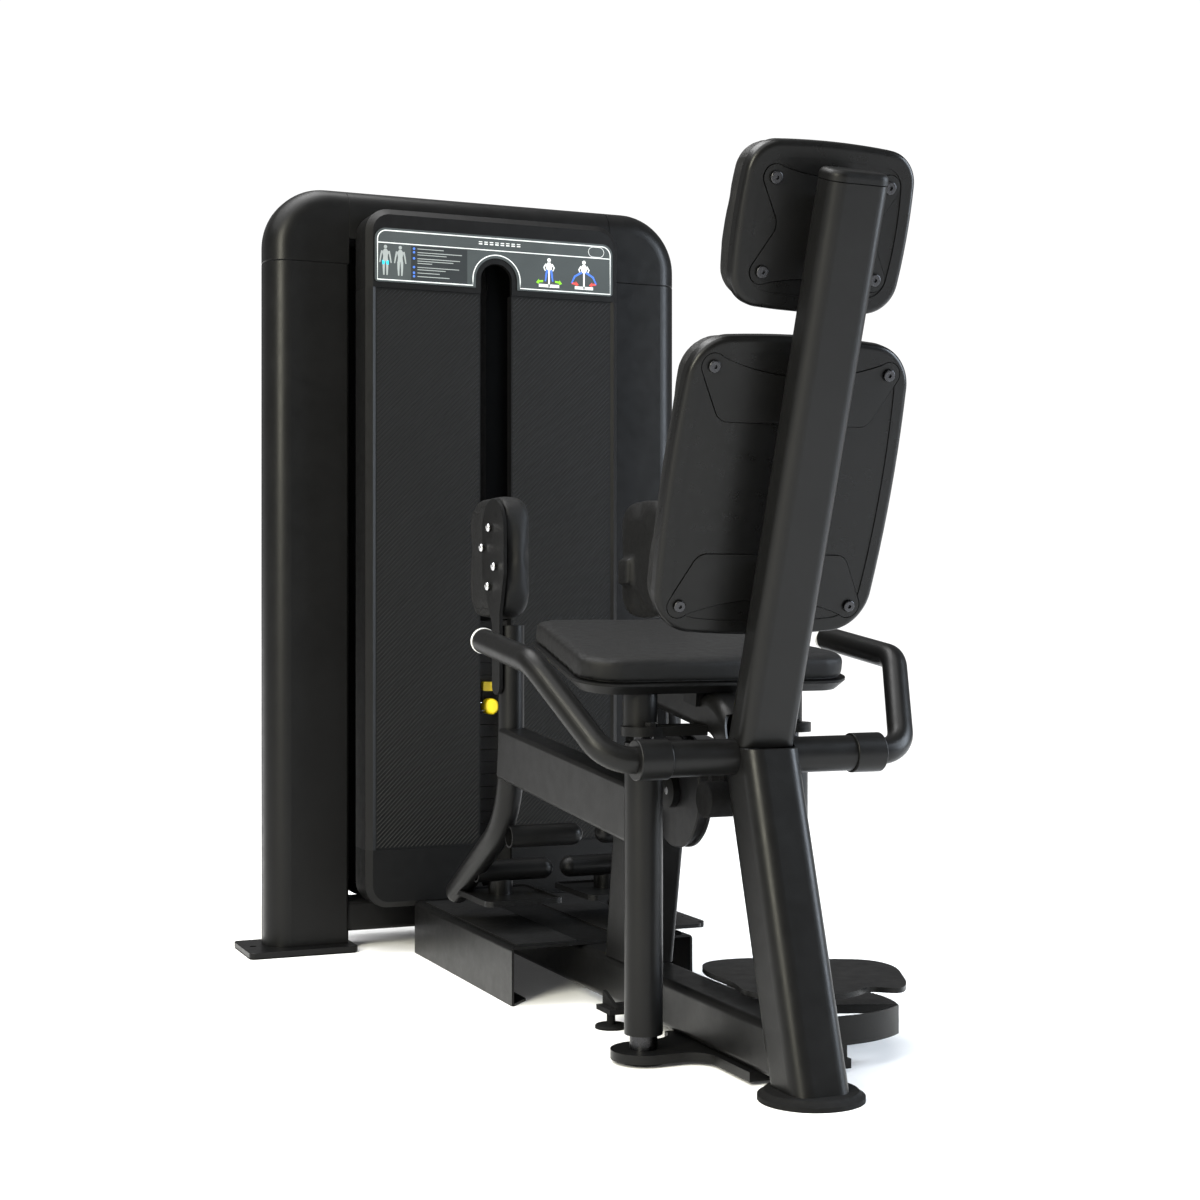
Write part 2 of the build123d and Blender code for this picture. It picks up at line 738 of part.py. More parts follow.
overrun = 60.0
leg_run = hypot(knuckle_offset, knuckle_z) + 2 * overrun
leg_start = (rear_foot_y - overrun * sin(radians(leg_lean)), -overrun * cos(radians(leg_lean)))
leg_blank = leaned_tube(*leg_start, -leg_lean, leg_width, leg_depth, leg_radius, 0, leg_run)
leg_shell = leaned_tube(*leg_start, -leg_lean, leg_width, leg_depth, leg_radius, leg_wall, leg_run)
post_start = (knuckle_y + overrun * sin(radians(lean)), knuckle_z - overrun * cos(radians(lean)))
post_run = (back_post_top - knuckle_z) / cos(radians(lean)) + overrun
post_sizes = (lean, leg_width, back_post_depth, back_post_radius)
post_blank = leaned_tube(*post_start, *post_sizes, 0, post_run)
post_shell = leaned_tube(*post_start, *post_sizes, leg_wall, post_run)


def slab(z_low, z_high):
    """A wide block between two levels, for trimming the leaned tubes."""
    height = z_high - z_low
    return Pos(0, rear_foot_y, (z_low + z_high) / 2) * Box(400, 1600, height, mode=Mode.PRIVATE)


with BuildPart() as rear_leg:
    add(leg_shell.part)
    add(slab(rear_foot_height, knuckle_z), mode=Mode.INTERSECT)
    chamfer(rear_leg.faces().sort_by(Axis.Z)[-1].outer_wire().edges(), 1)
save(rear_leg, "rear_leg")

with BuildPart() as back_post:
    add(post_shell.part)
    add(slab(knuckle_z, 3 * back_post_top), mode=Mode.INTERSECT)
    chamfer(back_post.faces().sort_by(Axis.Z)[0].outer_wire().edges(), 1)
save(back_post, "back_post")

with BuildPart() as post_cap:
    cap_axis = (0, -sin(radians(lean)), cos(radians(lean)))
    top_y = knuckle_y - (back_post_top - knuckle_z) * lean_tan
    with BuildSketch(Plane(origin=(0, top_y, back_post_top), x_dir=(1, 0, 0), z_dir=cap_axis)):
        RectangleRounded(leg_width, back_post_depth, back_post_radius)
    extrude(amount=16)
    fillet(post_cap.faces().sort_by(Axis((0, 0, 0), cap_axis))[-1].edges(), 9)
    chamfer(post_cap.faces().sort_by(Axis((0, 0, 0), cap_axis))[0].edges(), seam)
save(post_cap, "back_post_cap")

with BuildPart() as rear_foot:
    with BuildSketch(facing(rear_foot_y)):
        Polygon((0, 0), (rear_foot_radius, 0), (rear_foot_radius, 7), (rear_foot_radius - 5, 10),
                (rear_foot_radius - 9, rear_foot_height), (0, rear_foot_height), align=None)
    revolve(axis=Axis((0, rear_foot_y, 0), (0, 0, 1)))
save(rear_foot, "rear_foot")

# ---------------------------------------------------------------- handles
def cross_tube(side):
    """One stub of the handle cross tube, coped to the leg and the back post."""
    with BuildPart() as stub:
        with BuildSketch(Plane.YZ.offset(side * 25)):
            with Locations((knuckle_y, cross_tube_z)):
                Circle(cross_tube_radius)
                Circle(cross_tube_radius - 4, mode=Mode.SUBTRACT)
        extrude(amount=side * (collar_inner + 30 - 25))
        add(leg_blank.part, mode=Mode.SUBTRACT)
        add(post_blank.part, mode=Mode.SUBTRACT)
    return stub.part.solids().sort_by(lambda piece: piece.volume)[-1]


def handle_route(side):
    """The centre line of a handle, from inside the cross tube to its grip end."""
    with BuildLine(mode=Mode.PRIVATE) as route:
        FilletPolyline(
            (side * (collar_inner + 32), knuckle_y, cross_tube_z),
            (side * handle_turn_x, knuckle_y, cross_tube_z),
            (side * handle_grip_x, knuckle_y + handle_reach, handle_grip_z),
            (side * handle_grip_x, knuckle_y + handle_reach + grip_length, handle_end_z),
            radius=handle_bend,
        )
    return route.line


def handle_tube(side):
    """A bent handle tube."""
    line = handle_route(side)
    with BuildPart() as tube:
        with BuildSketch(Plane(origin=line @ 0, z_dir=line % 0)):
            Circle(handle_radius)
            Circle(handle_radius - 3, mode=Mode.SUBTRACT)
        sweep(path=line)
    return tube.part


def handle_cap(side):
    """The domed cap on the end of a handle."""
    line = handle_route(side)
    with BuildPart() as cap:
        with BuildSketch(Plane(origin=line @ 1, z_dir=line % 1)):
            Circle(handle_radius + 0.8)
        extrude(amount=9)
        fillet(cap.faces().sort_by(Axis.Y)[-1].edges(), 5)
    return cap.part


with BuildPart() as cross_tubes:
    add([cross_tube(side) for side in SIDES])
save(cross_tubes, "cross_tubes")

with BuildPart() as handle_collars:
    for side in SIDES:
        with BuildSketch(Plane.YZ.offset(side * collar_inner)):
            with Locations((knuckle_y, cross_tube_z)):
                Circle(collar_radius)
                Circle(cross_tube_radius, mode=Mode.SUBTRACT)
        extrude(amount=side * (collar_outer - collar_lip - collar_inner))
        with BuildSketch(Plane.YZ.offset(side * (collar_outer - collar_lip))):
            with Locations((knuckle_y, cross_tube_z)):
                Circle(collar_radius)
                Circle(handle_radius, mode=Mode.SUBTRACT)
        extrude(amount=side * collar_lip)
    rims = handle_collars.edges().filter_by(GeomType.CIRCLE).filter_by(
        lambda e: e.radius > collar_radius - 0.1
        and abs(abs(e.center().X) - (collar_inner + collar_outer) / 2) > 20
    )
    fillet(rims, 2)
save(handle_collars, "handle_collars")

with BuildPart() as handles:
    add([handle_tube(side) for side in SIDES])
save(handles, "handles")

with BuildPart() as handle_caps:
    add([handle_cap(side) for side in SIDES])
save(handle_caps, "handle_caps")

# ---------------------------------------------------------------- seat support
seat_tilt = radians(seat_slope)
seat_plane = Plane(origin=(0, seat_y, seat_rear_top), x_dir=(1, 0, 0),
                   z_dir=(0, -sin(seat_tilt), cos(seat_tilt)))
seat_stack = seat_shell_thickness + seat_pad_thickness
support_top_line = seat_stack + gap


def under_seat(along, down):
    """The (y, z) of a point this far forward along the seat and this far below its top."""
    return (seat_y + along * cos(seat_tilt) + down * sin(seat_tilt),
            seat_rear_top + along * sin(seat_tilt) - down * cos(seat_tilt))


def support_tube(wall):
    """The bent tube from the knuckle forward under the seat; solid if wall is 0."""
    mid_line = support_top_line + support_height / 2
    with BuildLine(mode=Mode.PRIVATE) as route:
        FilletPolyline(
            (0, knuckle_y - 10, knuckle_z - 62),
            (0, *under_seat(-12, mid_line)),
            (0, *under_seat(350, mid_line)),
            radius=86,
        )
    line = route.line
    with BuildPart() as tube:
        with BuildSketch(Plane(origin=line @ 0, x_dir=(1, 0, 0), z_dir=line % 0)):
            RectangleRounded(support_width, support_height, support_radius)
            if wall:
                RectangleRounded(support_width - 2 * wall, support_height - 2 * wall,
                                 support_radius - wall, mode=Mode.SUBTRACT)
        sweep(path=line)
    return tube


support_blank = support_tube(0)
with BuildPart() as seat_support:
    add(support_tube(leg_wall).part)
    add(leg_blank.part, mode=Mode.SUBTRACT)
    add(post_blank.part, mode=Mode.SUBTRACT)
support_solid = seat_support.part.solids().sort_by(lambda piece: piece.volume)[-1]
with BuildPart() as support_piece:
    add(support_solid)
save(support_piece, "seat_support")

# ---------------------------------------------------------------- seat
seat_half_rear = seat_rear_width / 2
seat_half_front = seat_front_width / 2


def seat_slab(depth, thickness, inset):
    """A slab of the seat's outline, its underside this deep below the seat's top."""
    with BuildPart() as slab_part:
        with BuildSketch(seat_plane.offset(-depth)) as outline:
            Polygon(
                (-seat_half_rear + inset, inset),
                (seat_half_rear - inset, inset),
                (seat_half_front - inset, seat_length - inset),
                (-seat_half_front + inset, seat_length - inset),
                align=None,
            )
            fillet(outline.vertices().group_by(Axis.Y)[0], seat_rear_corner - inset)
            fillet(outline.vertices().group_by(Axis.Y)[-1], seat_front_corner - inset)
        extrude(amount=thickness)
    return slab_part


seat_up = Axis((0, 0, 0), seat_plane.z_dir)
with BuildPart() as seat_shell:
    add(seat_slab(seat_stack, seat_shell_thickness - gap, 0).part)
    chamfer(seat_shell.faces().sort_by(seat_up)[0].edges(), 14)
    # the mounting block at the rear, cut to the support tube below it
    with BuildSketch(seat_plane.offset(-seat_stack)):
        with Locations((0, 52)):
            Rectangle(support_width + 14, 44)
    extrude(amount=-24)
    add(support_blank.part, mode=Mode.SUBTRACT)
save(seat_shell, "seat_shell")

with BuildPart() as seat_pad:
    add(seat_slab(seat_pad_thickness, seat_pad_thickness, 1).part)
    fillet(seat_pad.faces().sort_by(seat_up)[-1].edges(), 7)
save(seat_pad, "seat_pad")

# ---------------------------------------------------------------- back and head pads
back_normal = (0, cos(radians(lean)), sin(radians(lean)))
back_up = (0, -sin(radians(lean)), cos(radians(lean)))
bracket_start = back_post_depth / 2
shell_start = bracket_start + pad_stand_off


def back_plane(along, out):
    """A plane square to the pads: along up the post from the knuckle, out towards the sitter."""
    origin = Vector(0, knuckle_y, knuckle_z) + Vector(*back_up) * along + Vector(*back_normal) * out
    return Plane(origin=origin, x_dir=(-1, 0, 0), z_dir=back_normal)


def pad_slab(along, out, thickness, width, length, bulge, corner):
    """A pad or shell with gently bowed sides and rounded corners."""
    half_w = width / 2 - bulge
    half_l = length / 2 - bulge
    with BuildPart() as slab_part:
        with BuildSketch(back_plane(along, out)) as outline:
            with BuildLine():
                ThreePointArc((-half_w, -half_l), (0, -half_l - bulge), (half_w, -half_l))
                ThreePointArc((half_w, -half_l), (half_w + bulge, 0), (half_w, half_l))
                ThreePointArc((half_w, half_l), (0, half_l + bulge), (-half_w, half_l))
                ThreePointArc((-half_w, half_l), (-half_w - bulge, 0), (-half_w, -half_l))
            make_face()
            fillet(outline.vertices(), corner)
        extrude(amount=thickness)
    return slab_part


facing_out = Axis((0, 0, 0), back_normal)
PAD_SETS = (
    ("back", back_along, back_width, back_length, 10.0, 66.0,
     back_shell_thickness, back_pad_thickness),
    ("head", head_along, head_width, head_length, 7.0, 48.0,
     head_shell_thickness, head_pad_thickness),
)
bolt_places = {
    "back": [(x * back_bolt_span / 2, y * back_bolt_rise / 2) for x in (-1, 1) for y in (-1, 1)],
    "head": [(x * head_bolt_span / 2, y * head_bolt_rise / 2) for x in (-1, 1) for y in (-1, 1)],
}
def touch_point(lobe_radius, across, down):
    """Where a line from a point this far inboard of and below a lobe's centre touches the lobe."""
    turn = atan2(-down, -across) + acos(lobe_radius / hypot(across, down))
    return lobe_radius * cos(turn), lobe_radius * sin(turn)


def bracket_plates(grow):
    """The pads' mounting plates, let into the shells, with their outline grown by this much."""
    with BuildPart() as plates:
        # two plates across the back shell, each with a lobe at either bolt
        touch_x, touch_y = touch_point(back_lobe_radius, back_plate_inset, back_plate_depth)
        tip_x = back_bolt_span / 2
        for flip in (-1, 1):
            rise = flip * back_bolt_rise / 2
            high = rise + flip * back_lobe_radius
            inner = rise - flip * back_plate_depth
            with BuildSketch(back_plane(back_along, shell_start)) as outline:
                with BuildLine():
                    ThreePointArc((-tip_x, high), (0, rise - flip * back_plate_dip), (tip_x, high))
                    Polyline(
                        (tip_x, high), (tip_x + touch_x, rise + flip * touch_y),
                        (tip_x - back_plate_inset, inner), (back_plate_inset - tip_x, inner),
                        (-tip_x - touch_x, rise + flip * touch_y), (-tip_x, high),
                    )
                make_face()
                corners = outline.vertices().group_by(Axis.Y)[0 if flip > 0 else -1]
                fillet(corners, back_plate_rounding)
                with Locations((-tip_x, rise), (tip_x, rise)):
                    Circle(back_lobe_radius)
                if grow:
                    offset(amount=grow)
            extrude(amount=bracket_plate)
        # one waisted plate across the head shell
        tip_x = head_bolt_span / 2
        tip_y = head_bolt_rise / 2
        touch_x, touch_y = touch_point(head_lobe_radius, head_plate_waist, tip_y)
        high = tip_y + head_lobe_radius
        waist = tip_x - head_plate_waist
        with BuildSketch(back_plane(head_along, shell_start)) as outline:
            with BuildLine():
                ThreePointArc((-tip_x, high), (0, high - head_plate_dip), (tip_x, high))
                Polyline(
                    (tip_x, high), (tip_x + touch_x, tip_y + touch_y), (waist, 0),
                    (tip_x + touch_x, -tip_y - touch_y), (tip_x, -high),
                )
                ThreePointArc((tip_x, -high), (0, head_plate_dip - high), (-tip_x, -high))
                Polyline(
                    (-tip_x, -high), (-tip_x - touch_x, -tip_y - touch_y), (-waist, 0),
                    (-tip_x - touch_x, tip_y + touch_y), (-tip_x, high),
                )
            make_face()
            fillet(outline.vertices().filter_by(lambda v: abs(v.Y) < 1), head_waist_rounding)
            with Locations(*bolt_places["head"]):
                Circle(head_lobe_radius)
            if grow:
                offset(amount=grow)
        extrude(amount=bracket_plate)
    return plates


with BuildPart() as pad_brackets:
    add(bracket_plates(0).part)
    # blocks between the plates and the post
    for along, height in ((back_along - 150, 90), (back_along + 150, 90), (head_along, 90)):
        with BuildSketch(back_plane(along, bracket_start)):
            RectangleRounded(leg_width - 2 * back_post_radius, height, 4)
        extrude(amount=pad_stand_off)
    for label, along in (("back", back_along), ("head", head_along)):
        with Locations(back_plane(along, shell_start)):
            with Locations(*bolt_places[label]):
                Cylinder(bolt_radius + 0.4, 4 * bracket_plate, mode=Mode.SUBTRACT)
save(pad_brackets, "pad_brackets")

plate_pockets = bracket_plates(bracket_groove)
for label, along, width, length, bulge, corner, shell_depth, pad_depth in PAD_SETS:
    with BuildPart() as shell:
        add(pad_slab(along, shell_start, shell_depth, width, length, bulge, corner).part)
        fillet(shell.faces().sort_by(facing_out)[0].edges(), 9)
        # the shallow panel inside the raised border
        add(pad_slab(along, shell_start, border_depth, width - 2 * border_width,
                     length - 2 * border_width, bulge, corner - 18).part, mode=Mode.SUBTRACT)
        add(plate_pockets.part, mode=Mode.SUBTRACT)
        with Locations(back_plane(along, shell_start + shell_depth / 2)):
            with Locations(*bolt_places[label]):
                Cylinder(bolt_radius + 0.1, shell_depth + 1, mode=Mode.SUBTRACT)
    save(shell, f"{label}_shell")

    with BuildPart() as pad:
        pad_start = shell_start + shell_depth + gap
        add(pad_slab(along, pad_start, pad_depth, width - 4, length - 4, bulge, corner - 2).part)
        fillet(pad.faces().sort_by(facing_out)[-1].edges(), pad_edge_radius)
    save(pad, f"{label}_pad")

with BuildPart() as pad_bolts:
    for label, along in (("back", back_along), ("head", head_along)):
        with BuildSketch(back_plane(along, shell_start)):
            with Locations(*bolt_places[label]):
                Circle(bolt_head_radius)
        extrude(amount=-5)
        with BuildSketch(back_plane(along, shell_start)):
            with Locations(*bolt_places[label]):
                Circle(bolt_radius)
        extrude(amount=bracket_plate + 12)
        with BuildSketch(back_plane(along, shell_start - 5)):
            with Locations(*bolt_places[label]):
                RegularPolygon(3.2, 6)
        extrude(amount=3, mode=Mode.SUBTRACT)
    crowns = pad_bolts.edges().filter_by(GeomType.CIRCLE).filter_by(
        lambda e: e.radius > bolt_head_radius - 0.1
    ).filter_by(lambda e: any(
        abs((e.center() - back_plane(along, shell_start - 5).origin).dot(Vector(*back_normal))) < 0.1
        for along in (back_along, head_along)
    ))
    fillet(crowns, 1.8)
save(pad_bolts, "pad_bolts")

# ================================================================ base
with BuildPart() as base_beam:
    with BuildSketch(Plane.XZ.offset(-(rear_foot_y - 20))) as section:
        with Locations((0, beam_bottom + beam_height / 2)):
            RectangleRounded(beam_width, beam_height, beam_radius)
            RectangleRounded(beam_width - 2 * beam_wall, beam_height - 2 * beam_wall,
                             beam_radius - beam_wall, mode=Mode.SUBTRACT)
    extrude(amount=-(beam_end_y - rear_foot_y + 20))
    add(leg_blank.part, mode=Mode.SUBTRACT)
    # the window the cable passes through, and the slot over the base pulley
    with Locations((beam_width / 2, cable_window_y, cam_mid_z)):
        Box(3 * beam_wall, cable_window_length, 6 * cable_radius, mode=Mode.SUBTRACT)
    with Locations((0, base_pulley_y, beam_top)):
        Box(sheave_width + 6, 2 * base_pulley_radius + 24, 4 * beam_radius, mode=Mode.SUBTRACT)
    with Locations((0, base_pulley_y, base_pulley_z)):
        Cylinder(axle_radius, 2 * beam_width, rotation=(0, 90, 0), mode=Mode.SUBTRACT)
beam_solid = base_beam.part.solids().sort_by(lambda piece: piece.volume)[-1]
with BuildPart() as beam_piece:
    add(beam_solid)
save(beam_piece, "base_beam")

# the floor-level plate that carries both pivot pins
lug_plate_z = beam_bottom - lug_plate_thickness - gap
guard_foot_x = pivot_x - 16
with BuildPart() as lug_plate:
    with BuildSketch(Plane.XY.offset(lug_plate_z)) as plate_outline:
        neck = beam_width / 2 + 6
        with Locations((0, (rear_foot_y + 96 + pivot_y + 92) / 2)):
            Rectangle(2 * neck, pivot_y + 92 - rear_foot_y - 96)
        with Locations((0, pivot_y)):
            Rectangle(pivot_spacing, 2 * lug_radius)
        fillet(plate_outline.vertices().filter_by(
            lambda v: abs(abs(v.X) - neck) < 1 and abs(abs(v.Y - pivot_y) - lug_radius) < 1
        ), lug_sweep)
        with Locations((-pivot_x, pivot_y), (pivot_x, pivot_y)):
            Circle(lug_radius)
    extrude(amount=lug_plate_thickness)
    # the curved guard round the back of the cam, on a foot from the plate
    guard_low = cam_z - 10
    with BuildSketch(Plane.XY.offset(guard_low)):
        with Locations((pivot_x, pivot_y)):
            Circle(guard_radius + guard_sheet)
            Circle(guard_radius, mode=Mode.SUBTRACT)
            Polygon((0, 0), *[
                (3 * guard_radius * cos(radians(a)), 3 * guard_radius * sin(radians(a)))
                for a in (guard_end, 30, 90, 150, 200, guard_start)
            ], align=None, mode=Mode.SUBTRACT)
    extrude(amount=guard_height)
    with BuildSketch(Plane.XY.offset(lug_plate_z)):
        with Locations((guard_foot_x, pivot_y - guard_radius / 2)):
            Rectangle(44, guard_radius + 2 * guard_sheet)
    extrude(amount=lug_plate_thickness)
    with BuildSketch(Plane.XY.offset(lug_plate_z + lug_plate_thickness)):
        with Locations((guard_foot_x, pivot_y - guard_radius - guard_sheet / 2)):
            Rectangle(30, guard_sheet)
    extrude(amount=guard_low - lug_plate_z - lug_plate_thickness + 2)
save(lug_plate, "base_lug_plate")

with BuildPart() as pivot_pins:
    for side in SIDES:
        with BuildSketch(Plane.XY.offset(beam_bottom - gap)):
            with Locations((side * pivot_x, pivot_y)):
                Circle(pivot_pin_radius)
        extrude(amount=lug_z + lug_thickness - beam_bottom + gap)
        # thrust collar under the arm, and the bolt head on top of the lug
        with BuildSketch(Plane.XY.offset(beam_bottom - gap)):
            with Locations((side * pivot_x, pivot_y)):
                Circle(pivot_pin_radius + 6)
        extrude(amount=pivot_tube_bottom - beam_bottom - 1)
save(pivot_pins, "pivot_pins")

with BuildPart() as pivot_lugs:
    for side in SIDES:
        with BuildSketch(Plane.XY.offset(lug_z)):
            with Locations((side * pivot_x, pivot_y)):
                Circle(upper_lug_radius)
            with Locations((side * (pivot_x + support_width / 2) / 2, pivot_y + 4)):
                Rectangle(pivot_x - support_width / 2, 64)
            with Locations((side * pivot_x, pivot_y)):
                Circle(pivot_pin_radius, mode=Mode.SUBTRACT)
        extrude(amount=lug_thickness)
        # the stub tube between lug and seat
        with BuildSketch(Plane.XY.offset(lug_z + lug_thickness)):
            with Locations((side * pivot_x, pivot_y + stub_offset)):
                Circle(pivot_tube_radius - 3)
                Circle(pivot_tube_radius - 7, mode=Mode.SUBTRACT)
        extrude(amount=120)
        with BuildSketch(Plane.XY.offset(lug_z + lug_thickness)):
            with Locations((side * (pivot_x - 2), pivot_y - 22)):
                RegularPolygon(9, 6)
        extrude(amount=7)
    add(support_blank.part, mode=Mode.SUBTRACT)
    add(leg_blank.part, mode=Mode.SUBTRACT)
    # trimmed to the underside of the seat
    with BuildSketch(seat_plane.offset(-seat_stack - gap)):
        with Locations((0, 0)):
            Rectangle(900, 900)
    extrude(amount=400, mode=Mode.SUBTRACT)
save(pivot_lugs, "pivot_lugs")

column_top_y = column_y - column_lean_run
head_y = column_top_y + 12
head_length = column_length - 40
head_rear = head_y - head_length / 2
with BuildPart() as column:
    # a flared tube leaning back, closed at its top
    for wall, cap, mode in ((0, 0, Mode.ADD), (column_wall, column_cap, Mode.SUBTRACT)):
        with BuildSketch(Plane.XY.offset(beam_top)):
            with Locations((0, column_y)):
                RectangleRounded(beam_width - 2 * wall, column_length - 2 * wall, 10 - wall)
        with BuildSketch(Plane.XY.offset(column_top - cap)):
            with Locations((0, column_top_y)):
                RectangleRounded(beam_width - 2 * wall, column_length + column_flare - 2 * wall,
                                 10 - wall)
        loft(mode=mode)
    # the head that carries the front of the seat support
    with BuildSketch(Plane.XY.offset(column_top)):
        with Locations((0, head_y)):
            RectangleRounded(support_width - 8, head_length, 8)
    extrude(amount=250)
    add(support_blank.part, mode=Mode.SUBTRACT)
    with BuildSketch(seat_plane.offset(-support_top_line - support_height / 2)):
        with Locations((0, 200)):
            Rectangle(600, 900)
    extrude(amount=400, mode=Mode.SUBTRACT)
    # the slot that the pulley turns in
    with BuildSketch(Plane.YZ.offset(-disc_width / 2 - disc_side_gap)):
        with Locations((disc_y, disc_z)):
            Circle(disc_radius + 4)
    extrude(amount=disc_width + 2 * disc_side_gap, mode=Mode.SUBTRACT)
save(column, "seat_column")

# ---------------------------------------------------------------- column pulley and bumper
with BuildPart() as column_pulley:
    with BuildSketch(Plane.YZ.offset(-disc_width / 2)):
        with Locations((disc_y, disc_z)):
            Circle(disc_radius)
    extrude(amount=disc_width)
    chamfer(column_pulley.edges().filter_by(GeomType.CIRCLE), 2)
    with BuildSketch(Plane.YZ.offset(-disc_width)):
        with Locations((disc_y, disc_z)):
            Circle(axle_radius + pivot_clearance)
    extrude(amount=2 * disc_width, mode=Mode.SUBTRACT)
    # the rim groove
    with BuildSketch(Plane.YZ.offset(-disc_width / 4)):
        with Locations((disc_y, disc_z)):
            Circle(disc_radius + 1)
            Circle(disc_radius - 5, mode=Mode.SUBTRACT)
    extrude(amount=disc_width / 2, mode=Mode.SUBTRACT)
save(column_pulley, "column_pulley")

disc_reach = support_width / 2 - 4
with BuildPart() as pulley_axles:
    # a pin for each pulley, turning about X
    for centre, reach in (
        ((top_pulley_y, top_pulley_z), cheek_x + cheek_thickness + 2),
        ((base_pulley_y, base_pulley_z), beam_width / 2),
        ((disc_y, disc_z), disc_reach),
    ):
        with BuildSketch(Plane.YZ.offset(-reach)):
            with Locations(centre):
                Circle(axle_radius)
        extrude(amount=2 * reach)
    # the fixed bush that turns the cable into the beam
    with BuildSketch(Plane.XY.offset(beam_bottom + beam_wall)):
        with Locations((guide_turn_radius, bush_y)):
            Circle(guide_turn_radius - cable_radius - gap)
    extrude(amount=beam_height - 2 * beam_wall)
    add(beam_piece.part, mode=Mode.SUBTRACT)
save(pulley_axles, "pulley_axles")

# two arms from the column's head to either end of its pulley's axle
disc_arm_start = disc_width / 2 + disc_side_gap
with BuildPart() as pulley_bracket:
    for start in (-disc_reach, disc_arm_start):
        with BuildSketch(Plane.YZ.offset(start)):
            with Locations((disc_y, disc_z)):
                Circle(disc_arm_radius)
            with Locations(((disc_y + head_rear) / 2, disc_z)):
                Rectangle(head_rear - disc_y, 2 * disc_arm_radius)
            with Locations((disc_y, disc_z)):
                Circle(axle_radius, mode=Mode.SUBTRACT)
        extrude(amount=disc_reach - disc_arm_start)
save(pulley_bracket, "column_pulley_bracket")

with BuildPart() as bumper:
    with BuildSketch(Plane.YZ.offset(-bumper_length)):
        with Locations((bumper_y, bumper_z)):
            Circle(bumper_radius)
    extrude(amount=bumper_length)
    fillet(bumper.edges().filter_by(GeomType.CIRCLE), 3)
    # its stalk, up to the seat support
    with BuildSketch(Plane.XY.offset(bumper_z)):
        with Locations((-bumper_length / 4, bumper_y)):
            Rectangle(24, 14)
    extrude(amount=120)
    add(support_blank.part, mode=Mode.SUBTRACT)
    add(leg_blank.part, mode=Mode.SUBTRACT)
bumper_solid = bumper.part.solids().sort_by(lambda piece: piece.volume)[-1]
with BuildPart() as bumper_piece:
    add(bumper_solid)
save(bumper_piece, "support_bumper")

# ---------------------------------------------------------------- platform
platform_front = shroud_front - gap
platform_rear = platform_front - platform_length
platform_half = platform_width / 2
with BuildPart() as platform:
    with BuildSketch(facing(platform_rear)) as section:
        with Locations((0, platform_height / 2)):
            Rectangle(platform_width, platform_height)
        fillet(section.vertices().group_by(Axis.Y)[-1], 8)
        with Locations((0, (platform_height - platform_sheet) / 2)):
            Rectangle(platform_width - 2 * platform_sheet, platform_height - platform_sheet,
                      mode=Mode.SUBTRACT)
        # inward flanges along the floor
        for side in SIDES:
            with Locations((side * (platform_half - flange_width / 2), platform_sheet / 2)):
                Rectangle(flange_width, platform_sheet)
    extrude(amount=-platform_length)
    # the flanges' rear corners are cut at 45 degrees
    for side in SIDES:
        with BuildSketch(Plane.XY.offset(-1)):
            Polygon(
                (side * (platform_half - platform_sheet), platform_rear - 1),
                (side * (platform_half - flange_width - 2), platform_rear - 1),
                (side * (platform_half - flange_width - 2), platform_rear + flange_width),
                align=None,
            )
        extrude(amount=platform_sheet + 2, mode=Mode.SUBTRACT)
    # the small step plate on two posts at the right rear corner
    with BuildSketch(Plane.XY.offset(step_z)):
        with Locations((platform_half - step_width / 2 + 20, platform_rear + step_length / 2)):
            RectangleRounded(step_width, step_length, 10)
    extrude(amount=6)
    with BuildSketch(Plane.XY.offset(platform_height)):
        with Locations((platform_half - 26, platform_rear + 28),
                       (platform_half - 26, platform_rear + step_length - 28)):
            Circle(6)
    extrude(amount=step_z - platform_height)
save(platform, "platform")

with BuildPart() as mats:
    mat_x = beam_width / 2 + gap + 4 + mat_width / 2
    mat_length = platform_length - 40
    with BuildSketch(Plane.XY.offset(platform_height)):
        with Locations((-mat_x, platform_rear + 14 + mat_length / 2),
                       (mat_x, platform_rear + 14 + mat_length / 2)):
            RectangleRounded(mat_width, mat_length, 3)
        with Locations((platform_half - 26, platform_rear + 28),
                       (platform_half - 26, platform_rear + step_length - 28)):
            Circle(7, mode=Mode.SUBTRACT)
    extrude(amount=mat_thickness)
save(mats, "platform_mats")

